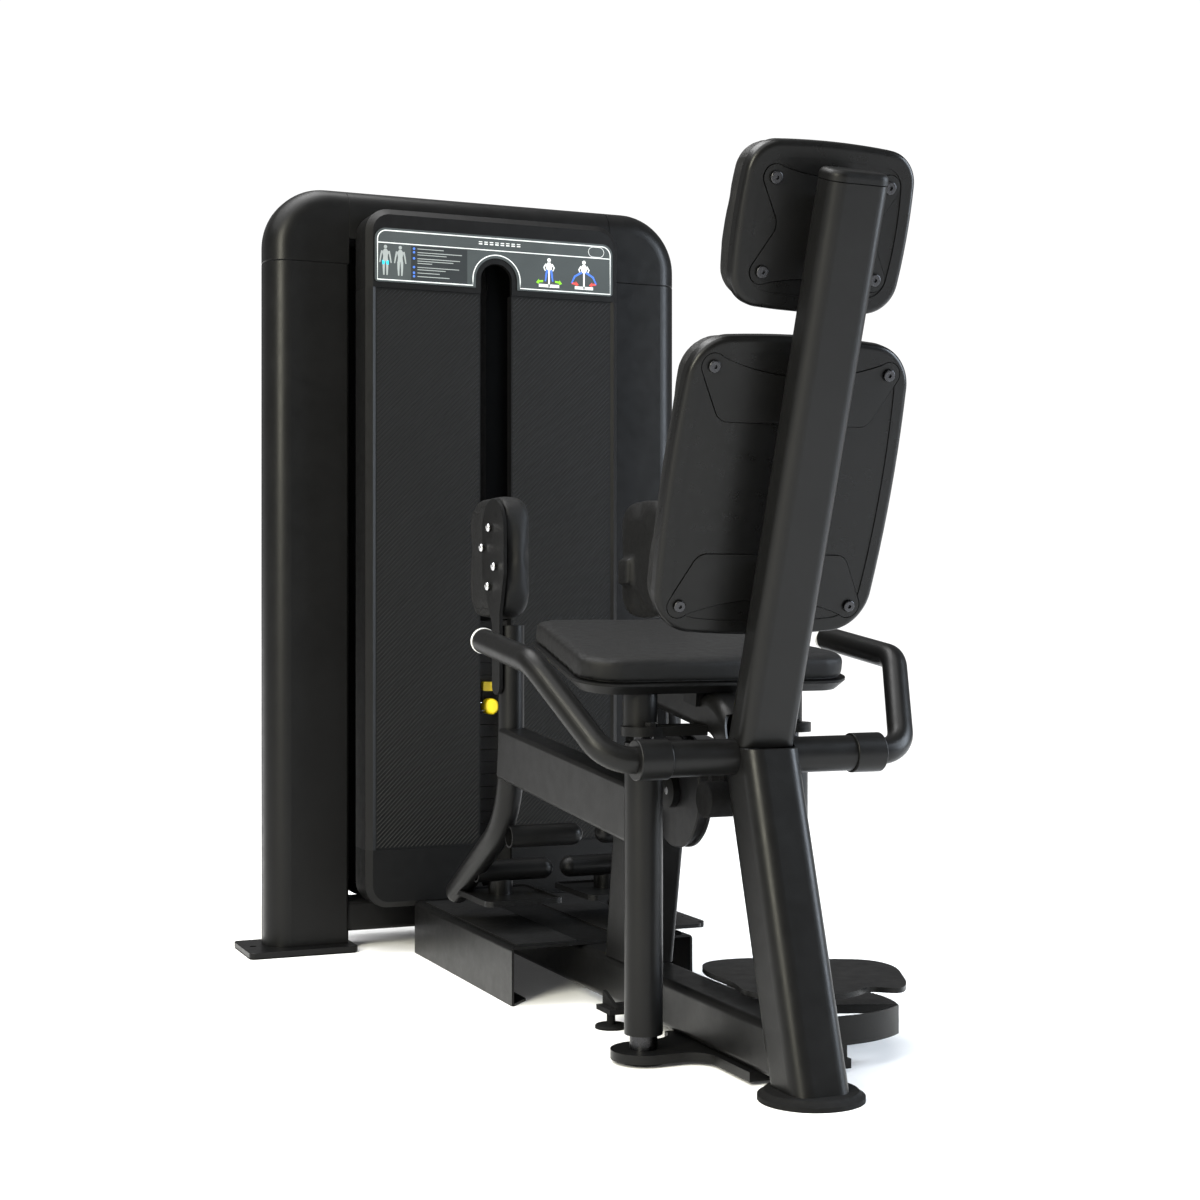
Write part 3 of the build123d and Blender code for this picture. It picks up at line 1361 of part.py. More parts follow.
with BuildPart() as floor_pads:
    with BuildSketch():
        with Locations((-plate_x, plate_y), (plate_x, plate_y)):
            RectangleRounded(foot_plate_width - 2, foot_plate_length - 2, 11)
        with Locations((-anchor_x, plate_y), (anchor_x, plate_y)):
            Circle(anchor_hole_radius + 1, mode=Mode.SUBTRACT)
    extrude(amount=rubber_thickness)
    # levelling feet each side of the beam, with their brackets
    for side in SIDES:
        with Locations((side * level_x, level_y, 0)):
            Cylinder(level_radius, 6, align=(Align.CENTER, Align.CENTER, Align.MIN))
            Cylinder(7, 34, align=(Align.CENTER, Align.CENTER, Align.MIN))
        with Locations((side * (beam_width / 2 + flange_reach / 2), level_y, level_flange_z)):
            Box(flange_reach, level_flange_length, level_flange_thickness)
        # the fin on the flange, falling in a curve towards the seat
        with BuildSketch(Plane.YZ.offset(side * level_x - level_fin_thickness / 2)):
            with BuildLine():
                near = level_y - level_flange_length / 2
                far = level_y + level_flange_length / 2
                Polyline((near, level_fin_low), (near, level_flange_z), (far, level_flange_z),
                         (far, level_fin_high))
                Spline((far, level_fin_high), (near, level_fin_low),
                       tangents=((-1, -0.2), (-1, -0.2)))
            make_face()
        extrude(amount=level_fin_thickness)
        with BuildSketch():
            with Locations((side * pivot_x, pivot_y)):
                Circle(lug_pad_radius)
        extrude(amount=beam_bottom - lug_plate_thickness - gap)
    flats = floor_pads.edges().filter_by(GeomType.CIRCLE).filter_by(
        lambda e: abs(e.radius - level_radius) < 0.1 and e.center().Z > 1
    )
    fillet(flats, 3)
save(floor_pads, "floor_pads")

# ================================================================ leg arms
def arm_tubes(side, upright_r, link_w, link_h, peg_r):
    """The arm's bent upright, its link and its two foot pegs, at the given section sizes."""
    with BuildLine(mode=Mode.PRIVATE) as route:
        FilletPolyline(
            (side * upright_x, upright_y, upright_top),
            (side * upright_x, upright_y, bend_z),
            (side * arm_foot_x, arm_foot_y, arm_foot_z),
            radius=arm_bend,
        )
    line = route.line
    pivot_end = Vector(side * pivot_x, pivot_y, link_pivot_z)
    run = Vector(side * upright_x, upright_y, link_upright_z) - pivot_end
    across = Vector(run.Y, -run.X, 0).normalized()
    with BuildPart() as tubes:
        with BuildSketch(Plane(origin=line @ 0, z_dir=line % 0)):
            Circle(upright_r)
        sweep(path=line)
        # domed lower end
        with Locations(line @ 1):
            Sphere(upright_r)
        with BuildSketch(Plane(origin=pivot_end, x_dir=across, z_dir=run)):
            RectangleRounded(link_w, link_h, 7)
        extrude(amount=run.length)
        # pegs with domed inner ends
        for root, tip, place_y, place_z in PEGS:
            with BuildSketch(Plane.YZ.offset(side * root)):
                with Locations((rear_foot_y + place_y, place_z)):
                    Circle(peg_r)
            extrude(amount=-side * (root - tip))
            with Locations((side * tip, rear_foot_y + place_y, place_z)):
                Sphere(peg_r)
    return tubes


def arm_frame(side):
    """The welded leg arm: pivot tube, link, bent upright and its two foot pegs."""
    with BuildPart() as arm:
        add(arm_tubes(side, upright_radius, link_width, link_height, peg_radius).part)
        add(arm_tubes(side, upright_radius - upright_wall, link_width - 2 * link_wall,
                      link_height - 2 * link_wall, peg_radius - upright_wall).part,
            mode=Mode.SUBTRACT)
        # the top of the upright is plugged
        with Locations((side * upright_x, upright_y, upright_top - 4)):
            Cylinder(upright_radius, 8)
        with BuildSketch(Plane.XY.offset(pivot_tube_bottom)):
            with Locations((side * pivot_x, pivot_y)):
                Circle(pivot_tube_radius)
        extrude(amount=pivot_tube_top - pivot_tube_bottom)
        with BuildSketch(Plane.XY.offset(pivot_tube_bottom - 1)):
            with Locations((side * pivot_x, pivot_y)):
                Circle(pivot_pin_radius + pivot_clearance)
        extrude(amount=pivot_tube_top - pivot_tube_bottom + 2, mode=Mode.SUBTRACT)
    return arm


def thigh_plate(side):
    """The spoon-shaped plate on the outside of the upright, with its four pad bolts."""
    face_x = upright_x + upright_radius
    with BuildPart() as plate:
        with BuildSketch(Plane.YZ.offset(side * face_x)) as outline:
            with BuildLine():
                top = ThreePointArc((plate_near, 812), ((plate_near + plate_far) / 2, 866),
                                    (plate_far, 812))
                right = Line(top @ 1, (plate_far, 735))
                Polyline(right @ 1, (upright_y + 19, 648), (upright_y + 19, 528), (upright_y - 19, 528),
                         (upright_y - 19, 668), (plate_near, 735), top @ 0)
            make_face()
            fillet(outline.vertices().group_by(Axis.Y)[0], 16)
        extrude(amount=side * thigh_plate_thickness)
        # seat for the upright tube behind the strip
        with BuildSketch(Plane.YZ.offset(side * face_x)):
            with Locations((upright_y, 590)):
                Rectangle(20, 100)
        extrude(amount=-side * 4)
        with Locations((side * upright_x, upright_y, 590)):
            Cylinder(upright_radius, 200, mode=Mode.SUBTRACT)
        # bolt heads outside, shanks through into the pad
        places = [(pad_bolts_y + dy, pad_bottom + pad_height / 2 + dz)
                  for dy, dz in ((-4, 51), (32, 17), (-30, -17), (1, -51))]
        with BuildSketch(Plane.YZ.offset(side * (face_x + thigh_plate_thickness))):
            with Locations(*places):
                Circle(7)
        extrude(amount=side * 5)
    return plate


def thigh_pad(side):
    """The thigh cushion with its small buffer block."""
    outer = upright_x + upright_radius - gap
    with BuildPart() as pad:
        with BuildSketch(Plane.YZ.offset(side * outer)) as outline:
            with Locations((pad_y, pad_bottom + pad_height / 2)):
                RectangleRounded(pad_width, pad_height, 46)
        extrude(amount=-side * pad_thickness)
        inner = Axis((0, 0, 0), (-side, 0, 0))
        fillet(pad.faces().sort_by(inner)[-1].edges(), 20)
        fillet(pad.faces().sort_by(inner)[0].edges(), 5)
        block_x = side * (outer - pad_thickness - 7)
        with Locations((block_x, pad_y + 32, pad_bottom + 84)):
            Box(16, 46, 50)
    return pad


def foot_tray(side):
    """The rimmed foot tray and the post that hangs it from the lower peg."""
    with BuildPart() as tray:
        with BuildSketch(Plane.XY.offset(tray_z)):
            with Locations((side * tray_x, rear_foot_y + 947)):
                RectangleRounded(tray_width, tray_length, 14)
        extrude(amount=6)
        with BuildSketch(Plane.XY.offset(tray_z + 6)):
            with Locations((side * tray_x, rear_foot_y + 947)):
                RectangleRounded(tray_width, tray_length, 14)
                RectangleRounded(tray_width - 12, tray_length - 12, 9, mode=Mode.SUBTRACT)
        extrude(amount=4)
        with BuildSketch(Plane.XY.offset(tray_z + 6)):
            with Locations((side * 104, rear_foot_y + 970)):
                Circle(22)
        extrude(amount=44)
        with Locations((side * 64, rear_foot_y + 957, 200)):
            Cylinder(peg_radius, 200, rotation=(0, 90, 0), mode=Mode.SUBTRACT)
        with BuildSketch(Plane.XY.offset(200)):
            Rectangle(4000, 4000)
        extrude(amount=100, mode=Mode.SUBTRACT)
    return tray


for side in SIDES:
    tag = "left" if side < 0 else "right"
    arm = arm_frame(side)
    save(arm, f"arm_{tag}")
    save(thigh_plate(side), f"thigh_plate_{tag}")
    save(thigh_pad(side), f"thigh_pad_{tag}")
    with BuildPart() as tray_piece:
        add(foot_tray(side).part)
        add(arm.part, mode=Mode.SUBTRACT)
        tray_solid = tray_piece.part.solids().sort_by(lambda piece: piece.volume)[-1]
    with BuildPart() as tray_whole:
        add(tray_solid)
    save(tray_whole, f"foot_tray_{tag}")

# ---------------------------------------------------------------- cam on the right arm
groove_radius = cable_track - cable_radius - gap
flange = (cam_thickness - 2 * cable_radius) / 2 - 1
with BuildPart() as cam:
    # the grooved sector that winds the cable
    for level, thickness, radius in (
        (cam_z, flange, cam_radius),
        (cam_z + flange, cam_thickness - 2 * flange, groove_radius),
        (cam_z + cam_thickness - flange, flange, cam_radius),
    ):
        with BuildSketch(Plane.XY.offset(level)):
            with Locations((pivot_x, pivot_y)):
                Circle(radius)
                Polygon((0, 0), *[
                    (2 * cam_radius * cos(radians(a)), 2 * cam_radius * sin(radians(a)))
                    for a in (cam_sector_end, 160, 210, 260, 300, 360 + cam_sector_start)
                ], align=None, mode=Mode.SUBTRACT)
        extrude(amount=thickness)
    # hub
    with BuildSketch(Plane.XY.offset(cam_z)):
        with Locations((pivot_x, pivot_y)):
            Circle(hub_radius)
    extrude(amount=hub_top - cam_z)
    # the wavy cover plate above it
    with BuildSketch(Plane.XY.offset(wave_z)):
        with BuildLine():
            Spline(*[(pivot_x + x, pivot_y + y) for x, y in WAVE_OUTLINE], periodic=True)
        make_face()
    extrude(amount=wave_thickness)
    with BuildSketch(Plane.XY.offset(cam_z - 1)):
        with Locations((pivot_x, pivot_y)):
            Circle(pivot_tube_radius)
    extrude(amount=hub_top, mode=Mode.SUBTRACT)
    # the stretch of cable that lies in the groove
    wrap = CenterArc((0, 0), cable_track, cam_sector_start,
                     cable_angle - cam_sector_start - 1, mode=Mode.PRIVATE)
    wrap = Pos(pivot_x, pivot_y, cam_mid_z) * wrap
    with BuildSketch(Plane(origin=wrap @ 0, z_dir=wrap % 0)):
        Circle(cable_radius)
    sweep(path=wrap)
save(cam, "drive_cam")
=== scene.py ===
"""Looks for the hip abductor machine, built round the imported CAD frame.

Everything is in metres in the CAD frame: +Z up, +Y from the seat to the weight tower.
"""

import json
import math

import bmesh
import bpy
from mathutils import Matrix, Vector


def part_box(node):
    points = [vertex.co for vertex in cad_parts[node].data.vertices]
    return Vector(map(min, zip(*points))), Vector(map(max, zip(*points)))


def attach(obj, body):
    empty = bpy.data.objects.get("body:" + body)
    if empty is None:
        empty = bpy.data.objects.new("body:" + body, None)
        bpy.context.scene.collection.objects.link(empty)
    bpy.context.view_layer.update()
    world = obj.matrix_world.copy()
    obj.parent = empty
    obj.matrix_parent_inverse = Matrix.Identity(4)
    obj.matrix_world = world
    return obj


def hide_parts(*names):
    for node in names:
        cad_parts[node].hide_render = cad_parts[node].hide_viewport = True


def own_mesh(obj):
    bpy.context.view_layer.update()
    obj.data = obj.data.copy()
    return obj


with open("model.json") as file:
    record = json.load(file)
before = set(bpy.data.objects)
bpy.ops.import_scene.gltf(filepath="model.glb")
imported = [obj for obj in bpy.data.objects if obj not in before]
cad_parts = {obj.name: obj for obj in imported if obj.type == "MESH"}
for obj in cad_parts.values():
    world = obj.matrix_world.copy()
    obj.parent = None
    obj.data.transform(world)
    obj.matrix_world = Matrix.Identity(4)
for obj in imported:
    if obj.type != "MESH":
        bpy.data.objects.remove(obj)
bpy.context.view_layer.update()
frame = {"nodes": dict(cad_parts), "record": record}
NODES = frame["nodes"]
MM = 0.001
WELD = 0.01 * MM


# ---------------------------------------------------------------- node materials
class Shader:
    """A Principled material with a few short calls for building its node tree."""

    def __init__(self, name, color, roughness, metallic=0.0, specular=0.5, coat=0.0, sheen=0.0):
        self.material = bpy.data.materials.new(name)
        self.material.use_nodes = True
        self.tree = self.material.node_tree
        self.bsdf = self.tree.nodes["Principled BSDF"]
        self.bsdf.inputs["Base Color"].default_value = (*color, 1.0)
        self.bsdf.inputs["Roughness"].default_value = roughness
        self.bsdf.inputs["Metallic"].default_value = metallic
        self.bsdf.inputs["Specular IOR Level"].default_value = specular
        self.bsdf.inputs["Coat Weight"].default_value = coat
        self.bsdf.inputs["Sheen Weight"].default_value = sheen
        self.place = self.add("ShaderNodeTexCoord").outputs["Object"]

    def add(self, kind, inputs=None, **settings):
        """A new node; inputs are sockets to link from or values to set."""
        node = self.tree.nodes.new(kind)
        for key, value in settings.items():
            setattr(node, key, value)
        for key, value in (inputs or {}).items():
            if isinstance(value, bpy.types.NodeSocket):
                self.tree.links.new(value, node.inputs[key])
            else:
                node.inputs[key].default_value = value
        return node

    def noise(self, scale, detail=3.0, roughness=0.5, place=None):
        """Noise in object space; scale is in cycles per metre."""
        return self.add("ShaderNodeTexNoise", {
            "Vector": place or self.place, "Scale": scale,
            "Detail": detail, "Roughness": roughness}).outputs["Fac"]

    def stretch(self, scale):
        """Object space scaled by a different factor along each axis."""
        mapping = self.add("ShaderNodeMapping", {"Vector": self.place, "Scale": scale})
        return mapping.outputs["Vector"]

    def spread(self, value, low, high, start=0.3, end=0.7):
        """Maps a value from start..end to low..high, clamped."""
        return self.add("ShaderNodeMapRange", {"Value": value, "From Min": start, "From Max": end,
                                               "To Min": low, "To Max": high}).outputs["Result"]

    def math(self, operation, a, b):
        """One arithmetic step on two values."""
        return self.add("ShaderNodeMath", {0: a, 1: b}, operation=operation).outputs["Value"]

    def tint(self, factor, dark, light):
        """A colour between dark and light."""
        mix = self.add("ShaderNodeMix", data_type="RGBA")
        self.tree.links.new(factor, mix.inputs["Factor"])
        mix.inputs["A"].default_value = (*dark, 1.0)
        mix.inputs["B"].default_value = (*light, 1.0)
        return mix.outputs["Result"]

    def use(self, socket, value):
        """Feeds a value into one of the surface's sockets."""
        self.tree.links.new(value, self.bsdf.inputs[socket])

    def bump(self, *layers):
        """Layers of (height socket, depth in metres), chained into the normal."""
        normal = None
        for height, depth in layers:
            node = self.add("ShaderNodeBump",
                            {"Height": height, "Distance": depth, "Strength": 1.0})
            if normal is not None:
                self.tree.links.new(normal, node.inputs["Normal"])
            normal = node.outputs["Normal"]
        self.use("Normal", normal)


def shade(color, factor):
    """The colour made darker or lighter by a factor."""
    return tuple(channel * factor for channel in color)


def powder_coat(name, color, roughness=0.36):
    """Satin powder coat: orange peel, a fine grain, slight clouding and uneven gloss."""
    s = Shader(name, color, roughness, specular=0.17)
    clouds = s.noise(9.0, 4.0)
    s.use("Base Color", s.tint(s.spread(clouds, 0.0, 1.0), shade(color, 0.86), shade(color, 1.16)))
    grain = s.noise(1400.0, 2.0)
    peel = s.noise(260.0, 2.0)
    rub = s.spread(s.noise(38.0, 5.0, 0.65), -0.035, 0.05)
    s.use("Roughness", s.math("ADD", rub, roughness))
    s.bump((peel, 0.00006), (grain, 0.00004))
    return s.material


def moulded_plastic(name, color, roughness=0.5):
    """Moulded plastic with a spark-eroded grain."""
    s = Shader(name, color, roughness, specular=0.16)
    cells = s.add("ShaderNodeTexVoronoi", {"Vector": s.place, "Scale": 950.0}).outputs["Distance"]
    clouds = s.noise(7.0, 3.0)
    s.use("Base Color", s.tint(s.spread(clouds, 0.0, 1.0), shade(color, 0.9), shade(color, 1.1)))
    s.use("Roughness", s.spread(s.noise(60.0, 4.0), roughness - 0.04, roughness + 0.05))
    s.bump((cells, 0.00003), (s.noise(2400.0), 0.00002))
    return s.material


def vinyl(name, color, roughness=0.5):
    """Upholstery vinyl: a fine leather grain over soft, uneven foam."""
    s = Shader(name, color, roughness, specular=0.18, sheen=0.01)
    s.bsdf.inputs["Sheen Roughness"].default_value = 0.45
    cells = s.add("ShaderNodeTexVoronoi", {"Vector": s.place, "Scale": 620.0, "Randomness": 0.9},
                  feature="DISTANCE_TO_EDGE").outputs["Distance"]
    creases = s.spread(cells, 0.0, 1.0, 0.0, 0.22)
    clouds = s.noise(16.0, 5.0, 0.6)
    s.use("Base Color", s.tint(s.spread(clouds, 0.0, 1.0), shade(color, 0.88), shade(color, 1.14)))
    s.use("Roughness", s.spread(s.noise(75.0, 4.0), roughness - 0.05, roughness + 0.06))
    s.bump((clouds, 0.0004), (creases, 0.00012), (s.noise(1900.0), 0.00004))
    return s.material


def rubber(name, color, roughness=0.78):
    """Moulded rubber with a pebbled skin and a trace of dust."""
    s = Shader(name, color, roughness, specular=0.15)
    pebbles = s.add("ShaderNodeTexVoronoi", {"Vector": s.place, "Scale": 420.0}).outputs["Distance"]
    dust = s.spread(s.noise(24.0, 6.0, 0.7), 0.0, 1.0, 0.45, 0.8)
    s.use("Base Color", s.tint(dust, color, shade(color, 1.9)))
    s.use("Roughness", s.spread(s.noise(90.0), roughness - 0.06, roughness + 0.08))
    s.bump((pebbles, 0.00015), (s.noise(1800.0), 0.00005))
    return s.material


def ground_steel(name, color, roughness=0.25, along=(400.0, 400.0, 6.0)):
    """Ground bar: fine scratches drawn out along one axis."""
    s = Shader(name, color, roughness, metallic=1.0)
    scratches = s.noise(1.0, 4.0, 0.6, s.stretch(along))
    s.use("Roughness", s.spread(scratches, roughness - 0.08, roughness + 0.12))
    s.use("Base Color", s.tint(s.spread(s.noise(20.0), 0.0, 1.0), shade(color, 0.85), color))
    s.bump((scratches, 0.00003))
    return s.material


def cast_plate(name, color):
    """Painted cast weight plate."""
    s = Shader(name, color, 0.55, specular=0.4)
    pits = s.noise(320.0, 5.0, 0.7)
    clouds = s.noise(30.0)
    s.use("Base Color", s.tint(s.spread(clouds, 0.0, 1.0), shade(color, 0.8), shade(color, 1.3)))
    s.use("Roughness", s.spread(pits, 0.45, 0.68))
    s.bump((pits, 0.0002))
    return s.material


def gloss_plastic(name, color, roughness=0.25):
    """Glossy moulded plastic with faint handling marks."""
    s = Shader(name, color, roughness, specular=0.5, coat=0.15)
    s.use("Roughness", s.spread(s.noise(140.0, 5.0, 0.7), roughness - 0.06, roughness + 0.12))
    s.use("Base Color", s.tint(s.spread(s.noise(45.0), 0.0, 1.0), shade(color, 0.93), color))
    s.bump((s.noise(700.0), 0.00003))
    return s.material


def woven_belt(name, color):
    """Flat drive belt with a fine cross rib."""
    s = Shader(name, color, 0.7, specular=0.3)
    ribs = s.add("ShaderNodeTexWave", {"Vector": s.place, "Scale": 160.0, "Distortion": 0.3},
                 bands_direction="Z").outputs["Fac"]
    s.use("Base Color", s.tint(s.spread(s.noise(60.0), 0.0, 1.0), color, shade(color, 1.6)))
    s.use("Roughness", s.spread(s.noise(200.0), 0.62, 0.8))
    s.bump((ribs, 0.0002))
    return s.material


FRAME_COLOR = (0.0042, 0.0042, 0.0043)
PANEL_COLOR = (0.0028, 0.0028, 0.0029)

MATERIALS = {
    "frame_black": powder_coat("frame_black", FRAME_COLOR),
    "mesh_sheet": powder_coat("mesh_sheet", (0.0010, 0.0010, 0.0011), 0.6),
    "rib_sheet": powder_coat("rib_sheet", (0.0034, 0.0034, 0.0034), 0.42),
    "moulding": moulded_plastic("moulding", PANEL_COLOR, 0.46),
    "pad_shell": moulded_plastic("pad_shell", (0.0042, 0.0042, 0.0043), 0.3),
    "panel_graphics": moulded_plastic("panel_graphics", (0.046, 0.053, 0.055), 0.4),
    "upholstery": vinyl("upholstery", (0.0045, 0.0045, 0.0047)),
    "rubber_black": rubber("rubber_black", (0.0035, 0.0035, 0.0037)),
    "bright_steel": ground_steel("bright_steel", (0.55, 0.55, 0.57)),
    "bolt_black": ground_steel("bolt_black", (0.045, 0.045, 0.048), 0.28, (300.0, 300.0, 300.0)),
    "bolt_silver": ground_steel("bolt_silver", (0.72, 0.72, 0.74), 0.22, (300.0, 300.0, 300.0)),
    "stack_iron": cast_plate("stack_iron", (0.010, 0.010, 0.011)),
    "pulley_nylon": moulded_plastic("pulley_nylon", (0.016, 0.016, 0.017), 0.4),
    "belt": woven_belt("belt", (0.011, 0.011, 0.012)),
    "signal_yellow": gloss_plastic("signal_yellow", (0.80, 0.60, 0.005), 0.35),
    "cap_white": gloss_plastic("cap_white", (0.78, 0.78, 0.78), 0.3),
    "ink_white": moulded_plastic("ink_white", (0.62, 0.64, 0.64), 0.5),
    "ink_cyan": moulded_plastic("ink_cyan", (0.03, 0.45, 0.62), 0.5),
    "ink_blue": moulded_plastic("ink_blue", (0.06, 0.15, 0.55), 0.5),
    "ink_green": moulded_plastic("ink_green", (0.20, 0.55, 0.03), 0.5),
    "ink_red": moulded_plastic("ink_red", (0.60, 0.07, 0.06), 0.5),
    "ink_grey": moulded_plastic("ink_grey", (0.25, 0.27, 0.27), 0.5),
    "ink_dark": moulded_plastic("ink_dark", (0.020, 0.023, 0.025), 0.5),
}

SHELL_NODES = ("back_shell", "head_shell")
slot_of = {entry["node"]: entry["material_slot"] for entry in frame["record"]["subparts"]}
for node_name, node in NODES.items():
    wanted = "pad_shell" if node_name in SHELL_NODES else slot_of[node_name]
    node.data.materials.clear()
    node.data.materials.append(MATERIALS[wanted])


# ---------------------------------------------------------------- mesh helpers
def piece_from(name, bm, material, body, smooth=True):
    """Turns a bmesh into a piece that rides on a body."""
    mesh = bpy.data.meshes.new(name)
    bmesh.ops.recalc_face_normals(bm, faces=bm.faces)
    bm.to_mesh(mesh)
    bm.free()
    piece = bpy.data.objects.new(name, mesh)
    bpy.context.scene.collection.objects.link(piece)
    mesh.materials.append(MATERIALS[material])
    if smooth:
        mesh.shade_smooth()
    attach(piece, body)


def apply_modifiers(piece):
    """Bakes the piece's modifiers into its mesh."""
    bpy.context.view_layer.update()
    depsgraph = bpy.context.evaluated_depsgraph_get()
    mesh = bpy.data.meshes.new_from_object(piece.evaluated_get(depsgraph))
    piece.modifiers.clear()
    piece.data = mesh


def axis_matrix(origin, direction):
    """A matrix whose Z runs along direction from origin."""
    turn = Vector((0, 0, 1)).rotation_difference(Vector(direction).normalized())
    return Matrix.Translation(Vector(origin)) @ turn.to_matrix().to_4x4()


# ---------------------------------------------------------------- stage, light and camera
FLOOR_HALF = 40.0
FLOOR_PALE, FLOOR_PALER = (0.92, 0.92, 0.92), (0.94, 0.94, 0.94)
WHITE = (1.0, 1.0, 1.0, 1.0)
ROOM_STRENGTH = 0.22
BACKDROP_STRENGTH = 1.05

floor_mesh = bpy.data.meshes.new("floor")
floor_mesh.from_pydata(
    [(-FLOOR_HALF, -FLOOR_HALF, 0), (FLOOR_HALF, -FLOOR_HALF, 0),
     (FLOOR_HALF, FLOOR_HALF, 0), (-FLOOR_HALF, FLOOR_HALF, 0)], [], [(0, 1, 2, 3)])
floor = bpy.data.objects.new("floor", floor_mesh)
bpy.context.scene.collection.objects.link(floor)
floor_look = Shader("floor", (0.93, 0.93, 0.93), 0.9, specular=0.1)
floor_look.use("Base Color", floor_look.tint(floor_look.noise(2.0), FLOOR_PALE, FLOOR_PALER))
floor_look.bsdf.inputs["Emission Color"].default_value = WHITE
floor_look.bsdf.inputs["Emission Strength"].default_value = 0.04
floor_mesh.materials.append(floor_look.material)

# a white backdrop seen directly, in a room that lights the object only dimly
world = bpy.data.worlds.new("studio")
bpy.context.scene.world = world
world.use_nodes = True
sky = world.node_tree
room = sky.nodes["Background"]
room.inputs["Color"].default_value = WHITE
room.inputs["Strength"].default_value = ROOM_STRENGTH
backdrop = sky.nodes.new("ShaderNodeBackground")
backdrop.inputs["Color"].default_value = WHITE
backdrop.inputs["Strength"].default_value = BACKDROP_STRENGTH
choice = sky.nodes.new("ShaderNodeMixShader")
sky.links.new(sky.nodes.new("ShaderNodeLightPath").outputs["Is Camera Ray"], choice.inputs["Fac"])
sky.links.new(room.outputs["Background"], choice.inputs[1])
sky.links.new(backdrop.outputs["Background"], choice.inputs[2])
sky.links.new(choice.outputs["Shader"], sky.nodes["World Output"].inputs["Surface"])


def soft_light(name, place, target, size, power, color):
    """A rectangular lamp at a place, turned to face the target."""
    lamp = bpy.data.lights.new(name, "AREA")
    lamp.shape = "RECTANGLE"
    lamp.size, lamp.size_y = size
    lamp.energy = power
    lamp.color = color
    obj = bpy.data.objects.new(name, lamp)
    bpy.context.scene.collection.objects.link(obj)
    obj.location = place
    aim = Vector(target) - Vector(place)
    obj.rotation_euler = aim.to_track_quat("-Z", "Y").to_euler()


# the overhead bank of lamps, soft and slightly from the left, keeps the floor white
bank = bpy.data.lights.new("bank", "SUN")
bank.energy = 3.6
bank.angle = math.radians(70.0)
bank_holder = bpy.data.objects.new("bank", bank)
bpy.context.scene.collection.objects.link(bank_holder)
bank_holder.rotation_euler = (math.radians(4.0), math.radians(-24.0), 0.0)
soft_light("key_left", (-3.4, -2.6, 2.4), (0.0, -0.2, 0.7), (1.2, 2.4), 260.0, (1.0, 0.97, 0.80))
soft_light("rim_right", (3.2, -1.6, 1.8), (0.0, -0.3, 0.7), (1.0, 2.6), 190.0, (0.80, 0.89, 1.0))
soft_light("top", (-0.6, 0.9, 3.6), (0.0, 0.2, 0.6), (2.4, 1.2), 60.0, (1.0, 1.0, 1.0))

# the camera stands behind the seat's left corner, level, at about chest height
CAMERA_TURN = math.radians(-22.94)
CAMERA_X = -1.312
CAMERA_BEHIND_FOOT = 2.350
CAMERA_HEIGHT = 0.691
CAMERA_LENS_MM = 57.99
SENSOR_WIDTH_MM = 36.0
foot_low, foot_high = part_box("rear_foot")
foot_y = (foot_low.y + foot_high.y) / 2
camera_data = bpy.data.cameras.new("camera")
camera_data.sensor_width = SENSOR_WIDTH_MM
camera_data.lens = CAMERA_LENS_MM
camera = bpy.data.objects.new("camera", camera_data)
bpy.context.scene.collection.objects.link(camera)
camera.location = (CAMERA_X, foot_y - CAMERA_BEHIND_FOOT, CAMERA_HEIGHT)
camera.rotation_euler = (math.radians(90.0), 0.0, CAMERA_TURN)
bpy.context.scene.camera = camera
bpy.context.scene.view_settings.view_transform = "Standard"


# ---------------------------------------------------------------- upholstered pads
PAD_VOXEL = 5.0 * MM
PAD_SHRINK = 2.2 * MM
PAD_PRESSURE = 3.0
PAD_CAP = 6.0 * MM
SEAT_CAP = 4.0 * MM
CLOTH_STIFFNESS = 30.0
CLOTH_BENDING = 4.0
CLOTH_QUALITY = 6
CLOTH_FRAMES = 20
WELT_OFFSET = 4.0 * MM
WELT_RADIUS = 1.4 * MM
WELT_STEP = 6.0 * MM


def cloned(name, node):
    """A linked object with its own copy of a CAD node's mesh."""
    piece = bpy.data.objects.new(name, NODES[node].data.copy())
    bpy.context.scene.collection.objects.link(piece)
    return piece


def swell(piece, cap):
    """Inflates a closed pad a little by cloth simulation, moving no point further than cap."""
    mesh = piece.data
    bm = bmesh.new()
    bm.from_mesh(mesh)
    bmesh.ops.remove_doubles(bm, verts=bm.verts, dist=WELD)
    bm.to_mesh(mesh)
    bm.free()
    remesh = piece.modifiers.new("remesh", "REMESH")
    remesh.mode = "VOXEL"
    remesh.voxel_size = PAD_VOXEL
    apply_modifiers(piece)
    mesh = piece.data
    for vertex in mesh.vertices:
        vertex.co -= vertex.normal * PAD_SHRINK
    start = [vertex.co.copy() for vertex in mesh.vertices]
    cloth = piece.modifiers.new("cloth", "CLOTH")
    settings = cloth.settings
    settings.use_pressure = True
    settings.uniform_pressure_force = PAD_PRESSURE
    settings.effector_weights.gravity = 0.0
    settings.tension_stiffness = CLOTH_STIFFNESS
    settings.compression_stiffness = CLOTH_STIFFNESS
    settings.bending_stiffness = CLOTH_BENDING
    settings.quality = CLOTH_QUALITY
    scene = bpy.context.scene
    for step in range(1, CLOTH_FRAMES + 1):
        scene.frame_set(step)
    apply_modifiers(piece)
    scene.frame_set(1)
    for vertex, old in zip(piece.data.vertices, start):
        move = vertex.co - old
        if move.length > cap:
            vertex.co = old + move * (cap / move.length)
    smooth = piece.modifiers.new("smooth", "SMOOTH")
    smooth.factor = 0.5
    smooth.iterations = 4
    subdivision = piece.modifiers.new("subdivision", "SUBSURF")
    subdivision.levels = 1
    apply_modifiers(piece)
    piece.data.shade_smooth()


